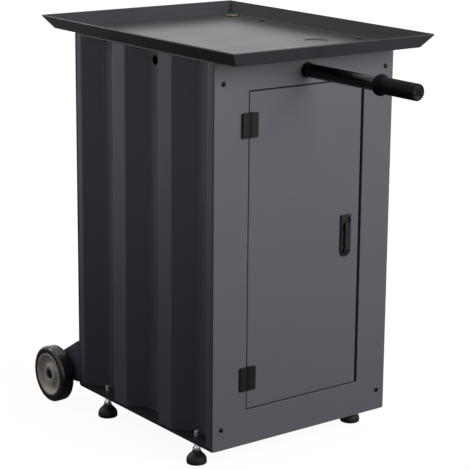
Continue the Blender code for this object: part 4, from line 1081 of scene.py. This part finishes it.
@dataclass
class Door:
    """Door pan with its two surface hinges and its latch. Sizes in cabinet millimetres."""

    left: float = -138.0
    right: float = 139.5
    low: float = 123.5
    high: float = 750.5
    front: float = -242.5
    depth: float = 16.0
    sheet: float = 2.0
    edge: float = 2.0
    hinge_axis: Pair = (-138.75, -246.1)
    hinge_levels: tuple[tuple[str, float], ...] = (("upper", 687.5), ("lower", 186.5))
    hinge_height: float = 48.0
    leaf: Triple = (3.0, 18.4, 5.0)
    latch: Pair = (103.9, 408.7)
    latch_width: float = 25.4
    latch_top: float = 72.3
    housing: float = 4.5
    spindle_bore: float = 5.25
    lever_half: float = 6.25
    lever_tip: float = 50.75
    lever_thick: float = 5.0
    lever_crown: float = 1.8
    tongue: float = 3.5
    hinge_pins: tuple[str, ...] = ("upper_hinge_pin", "lower_hinge_pin")
    kept: tuple[str, ...] = ("latch_cam", "latch_lever_pin")

    @property
    def lever_back(self) -> float:
        """Level of the back of the lever and the spindle's head, a gap in front of the housing."""
        return self.front - SEAT_GAP - self.housing - SEAT_GAP

    def build(self) -> None:
        """Builds the door, its hinges and its latch."""
        self.build_pan()
        self.build_hinges()
        self.build_housing()
        self.build_lever()
        self.build_spindle()
        nut = hex_nut(
            "latch_cam_hex_nut", Axis.Y, self.latch, across=11.0, low=-216.2, high=-211.2, bore=3.8,
        )
        nut.deliver(ZINC_PLATE, "latch", "latch_cam_nut")
        ZINC_PLATE.dress_nodes(*self.kept)
        BLACK_OXIDE.dress_nodes(*self.hinge_pins)

    def build_pan(self) -> None:
        """Folds the door from sheet, with rounded folds."""
        middle = at((self.left + self.right) / 2, self.front + self.depth / 2, (self.low + self.high) / 2)
        pan = Workpiece.start("folded_door_pan", bpy.ops.mesh.primitive_cube_add, size=1.0, location=middle)
        bpy.ops.transform.resize(value=(
            (self.right - self.left) * MM, self.depth * MM, (self.high - self.low) * MM,
        ), center_override=middle)
        pan.select(Element.FACE, lambda face: face.normal.y > 0.9)
        bpy.ops.mesh.delete(type="FACE")
        pan.select(Element.EDGE, lambda edge: len(edge.link_faces) == 2)
        pan.bevel(self.edge, 5)
        pan.face_away(middle)
        pan.thicken(self.sheet)
        pan.ease()
        x, z = self.latch
        ends = self.front - 2, self.front + self.sheet + 2
        hole = drill("spindle_hole", Axis.Y, at(x, 0, z), self.spindle_bore, *ends)
        pan.combine(hole, "DIFFERENCE")
        pan.deliver(SHEET_COAT, "door", "door")

    def build_hinges(self) -> None:
        """Models the two cast leaves of the upper hinge and copies them to the lower one."""
        (level, height), (other, depth) = self.hinge_levels
        drop = {other: Matrix.Translation((0, 0, (depth - height) * MM))}
        half = self.hinge_height / 2
        inner = self.hinge_height * 0.21
        near, far, thick = self.leaf
        spans = {
            "frame": (-1, "stand", ((-half, -inner - 0.5), (inner + 0.5, half))),
            "door": (1, "door", ((-inner, inner),)),
        }
        axis_x, seat = self.hinge_axis[0], self.front - SEAT_GAP
        for side, (sign, body, knuckles) in spans.items():
            left, right = sorted((axis_x + sign * near, axis_x + sign * far))
            outline = rounded_rectangle((left, height - half), (right, height + half), 2.5)
            name = f"{level}_hinge_{side}_leaf"
            leaf = Workpiece.plate(name + "_cast", Axis.Y, outline, seat - thick, seat)
            leaf.round_edges(0.7, 3)
            for low, high in knuckles:
                leaf.join(*self.build_knuckle(name, sign, height + low, height + high))
            Fitting(leaf, CAST_BLACK, body, name).install(level, drop)

    def build_knuckle(self, name: str, sign: int, low: float, high: float) -> tuple[Workpiece, Workpiece]:
        """Turns one beaded knuckle of a hinge leaf, and the web that holds it.

        Args:
            name: Name of the leaf.
            sign: Side of the hinge's axis that the leaf is on.
            low: Level of the knuckle's lower end.
            high: Level of its upper end.

        Returns:
            The knuckle and its web.
        """
        bore, end, barrel, groove = 1.45, 1.9, 2.4, 2.05
        axis_x, axis_y = self.hinge_axis
        profile = [(bore, low), (end, low), (barrel, low + 0.6)]
        count = max(1, round((high - low) / 7))
        for bead in range(1, count):
            level = low + (high - low) * bead / count
            profile += [(barrel, level - 0.5), (groove, level), (barrel, level + 0.5)]
        profile += [(barrel, high - 0.6), (end, high), (bore, high)]
        centre = at(axis_x, axis_y, 0)
        knuckle = Workpiece.turned(name + "_knuckle", Axis.Z, centre, profile, steps=32, closed=True)
        left, right = sorted((axis_x + sign * end, axis_x + sign * 6))
        outline = rounded_rectangle((left, low + 0.5), (right, high - 0.5), 0.4)
        web = Workpiece.plate(name + "_web", Axis.Y, outline, axis_y - 0.2, axis_y + 1.6)
        return knuckle, web

    def build_housing(self) -> None:
        """Moulds the latch's plate: flat top, round lower end, a sunk finger pocket."""
        x, z = self.latch
        half = self.latch_width / 2
        top = z + self.latch_top
        corner, inset = 2, half - 2
        outline = arc((x, z), half, 180, 360, 24) + arc((x + inset, top - corner), corner, 0, 90, 5)
        outline += arc((x - inset, top - corner), corner, 90, 180, 5)
        back = self.front - SEAT_GAP
        plate = Workpiece.plate("latch_housing_moulding", Axis.Y, outline, back - self.housing, back)
        plate.round_edges(0.9, 3)
        reach = 9.25
        pocket_outline = rounded_rectangle((x - reach, top - 29), (x + reach, top - 5), 3.5)
        pocket = Workpiece.plate("latch_pocket", Axis.Y, pocket_outline, back - 6.5, back - 1.5)
        plate.combine(pocket, "DIFFERENCE")
        bore = drill("latch_bore", Axis.Y, at(x, 0, z), self.spindle_bore, back - 6, back + SPARE)
        plate.combine(bore, "DIFFERENCE")
        plate.round_edges(0.3, 2, 60)
        plate.deliver(BLACK_NYLON, "door", "latch_housing")

    def build_lever(self) -> None:
        """Moulds the lift-and-turn lever with its crowned edges and its hinge eye."""
        x, z = self.latch
        back, half, side = self.lever_back, self.lever_half, self.tongue
        outline = arc((x, z + self.lever_tip), half, 0, 180, 24) + [(x - half, z + 8.5), (x + half, z + 8.5)]
        lever = Workpiece.plate("latch_lever_moulding", Axis.Y, outline, back - self.lever_thick, back)
        face = (back - self.lever_thick + 0.1) * MM + CABINET_Y
        lever.select(Element.EDGE, lambda edge: all(vertex.co.y < face for vertex in edge.verts))
        lever.bevel(self.lever_crown, 4)
        tongue = Workpiece.plate("lever_tongue", Axis.Y, [
            (x - side, z + 5.1), (x + side, z + 5.1), (x + side, z + 14), (x - side, z + 14),
        ], back - 4.7, back)
        bore, end, barrel = 1.45, 2.2, 2.5
        left, right = x - side, x + side
        eye = Workpiece.turned("lever_eye", Axis.X, at(0, back - 2.5, z + 3.5), [
            (bore, left), (end, left), (barrel, left + 0.3), (barrel, right - 0.3), (end, right),
            (bore, right),
        ], steps=40, closed=True)
        lever.join(tongue, eye)
        lever.deliver(BLACK_NYLON, "latch_lever", "latch_lever")

    def build_spindle(self) -> None:
        """Turns the latch's spindle and slots its head for the lever."""
        x, z = self.latch
        head, step, tip = self.lever_back, -219.8, -209.7
        rim, shank, stem = 7.5, 5.0, 3.5
        profile = [(0, head - 5), (6.1, head - 5), (7.1, head - 4.4), (rim, head - 3.4), (rim, head)]
        profile += [(shank, head), (shank, step), (stem, step), (stem, tip - 0.5)]
        profile += [(stem - 0.5, tip), (0, tip)]
        spindle = Workpiece.turned("latch_spindle_turned", Axis.Y, at(x, 0, z), profile)
        side = self.tongue + SEAT_GAP
        slot = Workpiece.plate("spindle_slot", Axis.Y, [
            (x - side, z), (x + side, z), (x + side, z + 20), (x - side, z + 20),
        ], head - 10, head + 0.15)
        spindle.combine(slot, "DIFFERENCE")
        spindle.round_edges(0.25, 2, 40)
        spindle.deliver(CAST_BLACK, "latch", "latch_spindle")


@dataclass
class PullHandle:
    """Pull-out tow handle: an enamelled tube, a rubber grip and a stop ring. Sizes in cabinet millimetres."""

    level: float = 780.5
    end: float = -552.5
    inner: float = -74.2
    plug: float = 5.0
    tube: float = 13.5
    tube_wall: float = 2.0
    grip: float = 15.8
    collar: float = 20.5
    grip_length: float = 107.0
    collar_length: float = 20.0

    def build(self) -> None:
        """Builds the tube and the grip, and dresses the stop ring."""
        axis = at(0, 0, self.level)
        outer, bore = self.end + self.plug + SEAT_GAP, self.tube - self.tube_wall
        pipe = Workpiece.turned("handle_tube_drawn", Axis.Y, axis, [
            (bore, outer), (self.tube, outer), (self.tube, self.inner), (bore, self.inner),
        ], steps=96, closed=True)
        pipe.round_edges(0.4, 2)
        pipe.deliver(TUBE_ENAMEL, "handle", "handle_tube")
        grip = Workpiece.turned("handle_grip_moulded", Axis.Y, axis, self.grip_profile(), steps=96)
        grip.ease()
        grip.deliver(GRIP_RUBBER, "handle", "handle_grip")
        ZINC_PLATE.dress_nodes("handle_stop_ring")

    def grip_profile(self) -> list[Pair]:
        """Profile of the grip: a bulged collar, a straight sleeve, a groove and a ringed end.

        Returns:
            Radius and level of each point.
        """
        seat, floor = self.tube + SEAT_GAP, self.end + self.plug
        start = self.end + self.grip_length
        bulge = self.collar - self.grip
        profile = [(0.0, floor), (seat, floor), (seat, start), (self.grip - 0.6, start)]
        for step in range(17):
            share = step / 16
            swell = math.sin(math.pi * share ** 0.8) ** 1.2 if 0 < step < 16 else 0.0
            profile.append((self.grip + bulge * swell, start - self.collar_length * share))
        groove = self.end + 8
        profile += [(self.grip, groove + 1), (self.grip - 0.6, groove + 0.5), (self.grip - 0.6, groove - 0.5)]
        profile += [(self.grip, groove - 1), (self.grip, self.end + 2)]
        profile += [(self.grip - 2 + r, self.end + 2 - h) for r, h in arc((0, 0), 2, 15, 90, 5)]
        profile += [(12.4, self.end), (12.0, self.end + 1.8), (10.6, self.end + 1.8), (10.2, self.end)]
        profile += [(8.2, self.end), (7.8, self.end + 1.6), (5.6, self.end + 1.6), (5.2, self.end + 0.9)]
        profile += [(2.6, self.end + 0.9), (2.0, self.end + 2.0), (0.0, self.end + 2.0)]
        return profile


@dataclass
class RearWheels:
    """The two rear wheels with their axle bolts and nuts. Sizes in cabinet millimetres."""

    axle: Pair = (313.0, 61.8)
    inner: float = 226.0
    width: float = 30.0
    radius: float = 61.0
    hub: float = 46.2
    bolt: float = 6.0
    bolt_tip: float = -202.7
    head_recess: float = 9.0

    def build(self) -> None:
        """Builds the left wheel, mirrors it to the right, and dresses the brackets and spacers."""
        centre = at(0, *self.axle)
        tyre, hub = (
            Workpiece.turned(name, Axis.X, centre, self.outwards(profile), steps=128, closed=True)
            for name, profile in (
                ("left_tyre_moulded", self.tyre_profile()), ("left_hub_moulded", self.hub_profile()),
            )
        )
        hub.round_edges(0.5, 3)
        nut = hex_nut(
            "left_axle_lock_nut", Axis.X, self.axle, across=19.0, low=-215.7, high=-205.7,
            bore=self.bolt + SEAT_GAP,
        )
        for fitting in (
            Fitting(tyre, TYRE_RUBBER, "left_wheel", "left_wheel_tyre", 50.0),
            Fitting(hub, HUB_PLASTIC, "left_wheel", "left_wheel_hub"),
            Fitting(self.build_bolt(centre), BLACK_OXIDE, "stand", "left_axle_bolt"),
            Fitting(nut, ZINC_PLATE, "stand", "left_axle_nut"),
        ):
            fitting.install("left", {"right": MIRROR})
        # The wheel brackets take the darker side coat, a painted shade.
        for side in SIDES:
            SHADED_SIDE_COAT.dress_nodes(f"{side}_wheel_bracket")
            ZINC_PLATE.dress_nodes(f"{side}_wheel_spacer")

    def outwards(self, profile: list[Pair]) -> list[Pair]:
        """Puts a profile, given as radius and distance from the wheel's inner face, on the left side."""
        return [(radius, -self.inner - level) for radius, level in profile]

    def tyre_profile(self) -> list[Pair]:
        """Section of the tyre: crowned tread, round shoulders, a mould line and a bead at the hub.

        Returns:
            Radius and distance from the inner face of each point.
        """
        seat, round_radius = self.hub + SEAT_GAP, 7.0
        tread, outer = self.radius, self.width
        wall = tread - round_radius
        points = [(seat, 0.6), (seat + 1.5, 0.0), (seat + 3.0, 0.5), (wall, 0.0)]
        points += [(r, x) for x, r in arc((round_radius, wall), round_radius, 175, 118, 6)]
        points += [(tread - 0.5, 5.0), (tread - 0.6, 6.6), (tread - 2.2, 7.6), (tread - 2.2, 8.6)]
        points += [(tread - 0.3, 9.8), (tread, outer / 2), (tread - 0.1, 22.0)]
        points += [(r, x) for x, r in arc((outer - round_radius, wall), round_radius, 82, 5, 8)]
        points += [(wall - 1, outer), (seat + 3.2, outer - 0.7), (seat + 1.8, outer - 0.1)]
        return points + [(seat + 0.6, outer - 0.2), (seat, outer - 0.8)]

    def hub_profile(self) -> list[Pair]:
        """Section of the hub: a flat rim, a shallow dish and a raised boss with a recess for the bolt's head.

        Returns:
            Radius and distance from the inner face of each point.
        """
        outer, rim, bore, barrel, well = self.width, self.hub - 5, 6.25, 20.0, 11.6
        face, web = outer - 1.5, outer - 14
        seat = face - 7.5
        back = [(bore, 0.0), (barrel, 0.0), (barrel, web), (rim, web), (rim, 0.0), (self.hub, 0.0)]
        dish = [(self.hub, outer), (rim + 1.6, outer), (rim + 0.4, outer - 0.8), (rim - 0.6, outer - 3.0)]
        dish += [(rim - 2.4, outer - 5.8), (rim - 6.0, outer - 7.4), (rim - 11.0, outer - 7.9)]
        boss = [(26.0, outer - 8.0), (23.4, outer - 7.2), (21.8, outer - 5.4), (20.6, face - 1.0)]
        boss += [(19.6, face), (13.2, face), (well + 0.3, face - 0.9), (well, face - 2.2)]
        boss += [(well, seat), (bore, seat)]
        return back + dish + boss

    def build_bolt(self, centre: Vector) -> Workpiece:
        """Models the left axle bolt with its chamfered head.

        Args:
            centre: A point on the axle.

        Returns:
            The bolt.
        """
        seat = -(self.inner + self.width - self.head_recess + SEAT_GAP)
        tip, end = self.bolt_tip, seat - 1
        bolt = Workpiece.turned("left_axle_bolt_hex_head", Axis.X, centre, [
            (0, tip), (self.bolt - 0.8, tip), (self.bolt, tip - 1), (self.bolt, end), (0, end),
        ])
        head = hex_nut("axle_head", Axis.X, self.axle, across=18.0, low=seat - 5.5, high=seat)
        crown = Workpiece.turned("axle_crown", Axis.X, centre, [
            (0, seat - 4.0), (4.2, seat - 4.0), (4.2, seat - 5.3), (3.0, seat - 5.8), (0, seat - 6.0),
        ], steps=40)
        bolt.join(head, crown)
        return bolt


@dataclass
class LevellingFeet:
    """The four levelling feet: pad, threaded stud with a hex collar, and lock nut. Sizes in millimetres."""

    pad: float = 20.5
    height: float = 27.0
    neck: float = 9.5
    stud: float = 5.0
    pitch: float = 1.5
    stud_foot: float = 12.0
    stud_top: float = 68.0
    collar: float = 5.0

    def build(self) -> None:
        """Builds the pad, stud and lock nut of one foot and copies them to the other corners."""
        corner, place = next(iter(CORNERS.items()))
        body = f"{corner}_foot"
        axis = at(*place, 0)
        pad = Workpiece.turned(f"{corner}_pad_moulded", Axis.Z, axis, self.pad_profile(), steps=80)
        pad.ease(0.3)
        stud = thread(f"{corner}_stud_threaded", axis, self.stud, self.pitch, self.stud_foot, self.stud_top)
        low = self.height + SEAT_GAP
        high = low + self.collar
        stud.join(hex_nut(f"{corner}_collar", Axis.Z, place, across=15.0, low=low, high=high))
        foot, tip = high - 0.1, self.height + 13
        stud.join(Workpiece.turned(f"{corner}_collar_taper", Axis.Z, axis, [
            (0, foot), (6.8, foot), (5.6, self.height + 9), (4.7, tip), (0, tip),
        ], steps=40))
        nut = hex_nut(
            f"{corner}_hex_lock_nut", Axis.Z, place, across=17.0, low=42.7, high=49.7,
            bore=self.stud + SEAT_GAP,
        )
        moves = spread({other: at(*spot, 0) for other, spot in CORNERS.items()})
        Fitting(pad, SOFT_RUBBER, body, f"{body}_pad").install(corner, moves)
        Fitting(stud, ZINC_PLATE, body, f"{body}_stud", 40.0).install(corner, moves)
        Fitting(nut, ZINC_PLATE, "stand", f"{body}_lock_nut").install(corner, moves)

    def pad_profile(self) -> list[Pair]:
        """Section of the pad: an upright edge under a dome that closes in on the stud.

        Returns:
            Radius and height of each point.
        """
        edge, neck = self.pad, self.neck
        profile = [(0.0, 0.0), (edge * 0.88, 0.0), (edge * 0.97, 0.8), (edge, 2.4), (edge, 6.6)]
        for step in range(1, 11):
            share = step / 10
            profile.append((edge - (edge - neck) * share ** 1.6, 8.0 + 15.5 * share ** 0.9))
        top, bore, floor = self.height, self.stud + SEAT_GAP, self.stud_foot - SEAT_GAP
        return profile + [(neck, top - 1.6), (neck - 1, top - 0.2), (bore, top), (bore, floor), (0.0, floor)]


@dataclass
class Studio:
    """Pale floor, soft light and the photograph's camera."""

    eye: Triple = (-2054.5, -2739.8, 1287.9)
    azimuth: float = -37.681
    elevation: float = 13.559
    roll: float = 0.670
    focal_pixels: float = 1704.57
    image: float = 470.0
    frame_shift: Pair = (-0.0402, -0.0586)
    floor_start: float = 2.0
    floor_radius: float = 60.0
    floor_drop: float = 0.0005

    def build(self) -> None:
        """Sets up the floor, the world, the lamps and the camera."""
        bpy.context.scene.view_settings.view_transform = "Standard"
        self.build_floor()
        self.build_world()
        self.build_lamp("key_softbox", (900, -3600, 1900), target=(0, -242, 420), size=2.4, power=127.0)
        self.build_lamp("top_softbox", (300, 300, 3200), target=(0, 0, 820), size=2.2, power=20.0)
        self.build_lamp("side_softbox", (-1500, 2500, 1900), target=(-240, 100, 700), size=0.8, power=20.0)
        self.build_camera()

    def seen(self, tree: bpy.types.NodeTree) -> tuple[bpy.types.NodeSocket, bpy.types.NodeSocket]:
        """Sockets that tell which rays see a surface.

        Args:
            tree: Node tree that asks.

        Returns:
            One socket that is one for rays from the camera, and one for rays from a mirror or glass.
        """
        rays = add_node(tree, "ShaderNodeLightPath").outputs
        mirrored = add_node(tree, "ShaderNodeMath", {
            0: rays["Is Glossy Ray"], 1: rays["Is Transmission Ray"],
        }, operation="MAXIMUM").outputs["Value"]
        return rays["Is Camera Ray"], mirrored

    def build_floor(self) -> None:
        """Lays a pale round floor that fades to white and keeps the stand's shadow; mirrored rays see it dim
        near the stand, a painted shade, and brighter further out.
        """
        near, far = self.floor_start, self.floor_radius
        floor = Workpiece.start(
            "studio_floor", bpy.ops.mesh.primitive_circle_add, vertices=96, radius=near, fill_type="NGON",
            location=(0, 0, -self.floor_drop),
        )
        bpy.ops.mesh.inset(thickness=0.5)
        floor.select(Element.EDGE, lambda edge: len(edge.link_faces) == 1)
        floor.walk(Axis.Z, Vector((0, 0, 0)), [(near, near, 0.0), (far, far, 0.0)])
        floor.close()
        made = bpy.data.materials.new("pale_studio_floor")
        made.use_nodes = True
        tree = made.node_tree
        tree.nodes.clear()
        direct, mirrored = self.seen(tree)
        paint = add_node(tree, "ShaderNodeBsdfDiffuse", {"Color": linear("#5a5a5a")}).outputs["BSDF"]
        place = add_node(tree, "ShaderNodeTexCoord").outputs["Object"]
        distance = add_node(tree, "ShaderNodeVectorMath", {0: place}, operation="LENGTH").outputs["Value"]
        # Mirrored rays see the floor dim near the stand and brighter further out: painted shade under the stand
        # in its reflections.
        reflected_floor_shade = add_node(tree, "ShaderNodeMapRange", {
            "Value": distance, "From Min": 0.6, "From Max": 4.0, "To Min": 0.04, "To Max": 0.85,
        }, interpolation_type="SMOOTHSTEP").outputs["Result"]
        shaded_floor_reflection = add_node(tree, "ShaderNodeMath", {
            0: mirrored, 1: reflected_floor_shade,
        }, operation="MULTIPLY").outputs["Value"]
        white = add_node(tree, "ShaderNodeMapRange", {
            "Value": distance, "From Min": 0.5, "From Max": 1.6, "To Min": 0.95, "To Max": 1.0,
        }, interpolation_type="SMOOTHSTEP").outputs["Result"]
        strength = add_node(tree, "ShaderNodeMath", {
            0: direct, 1: white, 2: shaded_floor_reflection,
        }, operation="MULTIPLY_ADD").outputs["Value"]
        glow = add_node(tree, "ShaderNodeEmission", {
            "Color": linear("#ffffff"), "Strength": strength,
        }).outputs["Emission"]
        both = add_node(tree, "ShaderNodeAddShader", {0: paint, 1: glow}).outputs["Shader"]
        add_node(tree, "ShaderNodeOutputMaterial", {"Surface": both})
        floor.body.data.materials.append(made)

    def build_world(self) -> None:
        """Makes a white room that lights the stand only softly."""
        world = bpy.data.worlds.new("white_studio")
        bpy.context.scene.world = world
        world.use_nodes = True
        tree = world.node_tree
        tree.nodes.clear()
        direct, mirrored = self.seen(tree)
        seen = add_node(tree, "ShaderNodeMath", {
            0: direct, 1: mirrored,
        }, operation="MAXIMUM").outputs["Value"]
        strength = add_node(tree, "ShaderNodeMapRange", {
            "Value": seen, "From Min": 0.0, "From Max": 1.0, "To Min": 0.14, "To Max": 1.0,
        }).outputs["Result"]
        sky = add_node(tree, "ShaderNodeBackground", {"Color": linear("#ffffff"), "Strength": strength})
        add_node(tree, "ShaderNodeOutputWorld", {"Surface": sky.outputs["Background"]})

    def build_lamp(
        self, name: str, place: Triple, *, target: Triple, size: float,
        power: float,
    ) -> None:
        """Hangs a square softbox.

        Args:
            name: Name of the lamp.
            place: Where it hangs, in cabinet millimetres.
            target: Where it looks.
            size: Length of its side in metres.
            power: Its power in watts.
        """
        lamp = bpy.data.lights.new(name, "AREA")
        lamp.size = size
        lamp.energy = power
        holder = bpy.data.objects.new(name, lamp)
        holder.location = at(*place)
        holder.rotation_euler = (at(*target) - at(*place)).to_track_quat("-Z", "Y").to_euler()
        holder.visible_camera = False
        bpy.context.scene.collection.objects.link(holder)

    def build_camera(self) -> None:
        """Stands the camera where the photograph was taken from."""
        azimuth, elevation, roll = (math.radians(v) for v in (self.azimuth, self.elevation, self.roll))
        level = math.cos(elevation)
        forward = Vector((-math.sin(azimuth) * level, math.cos(azimuth) * level, -math.sin(elevation)))
        level_right = Vector((math.cos(azimuth), math.sin(azimuth), 0))
        level_up = level_right.cross(forward)
        right = level_right * math.cos(roll) + level_up * math.sin(roll)
        up = level_up * math.cos(roll) - level_right * math.sin(roll)
        lens = bpy.data.cameras.new("photo_camera")
        lens.sensor_width = 36.0
        lens.lens = self.focal_pixels / self.image * lens.sensor_width
        lens.shift_x, lens.shift_y = self.frame_shift
        lens.clip_end = 500.0
        camera = bpy.data.objects.new("photo_camera", lens)
        turn = Matrix((right, up, -forward)).transposed().to_4x4()
        camera.matrix_world = Matrix.Translation(at(*self.eye)) @ turn
        bpy.context.scene.collection.objects.link(camera)
        bpy.context.scene.camera = camera


def main() -> None:
    """Builds each sub-assembly in order, then the studio."""
    logging.basicConfig(level=logging.INFO, format="%(message)s")
    for assembly in (DripTray(), Cabinet(), Door(), PullHandle(), RearWheels(), LevellingFeet(), Studio()):
        assembly.build()


if __name__ == "__main__":
    main()
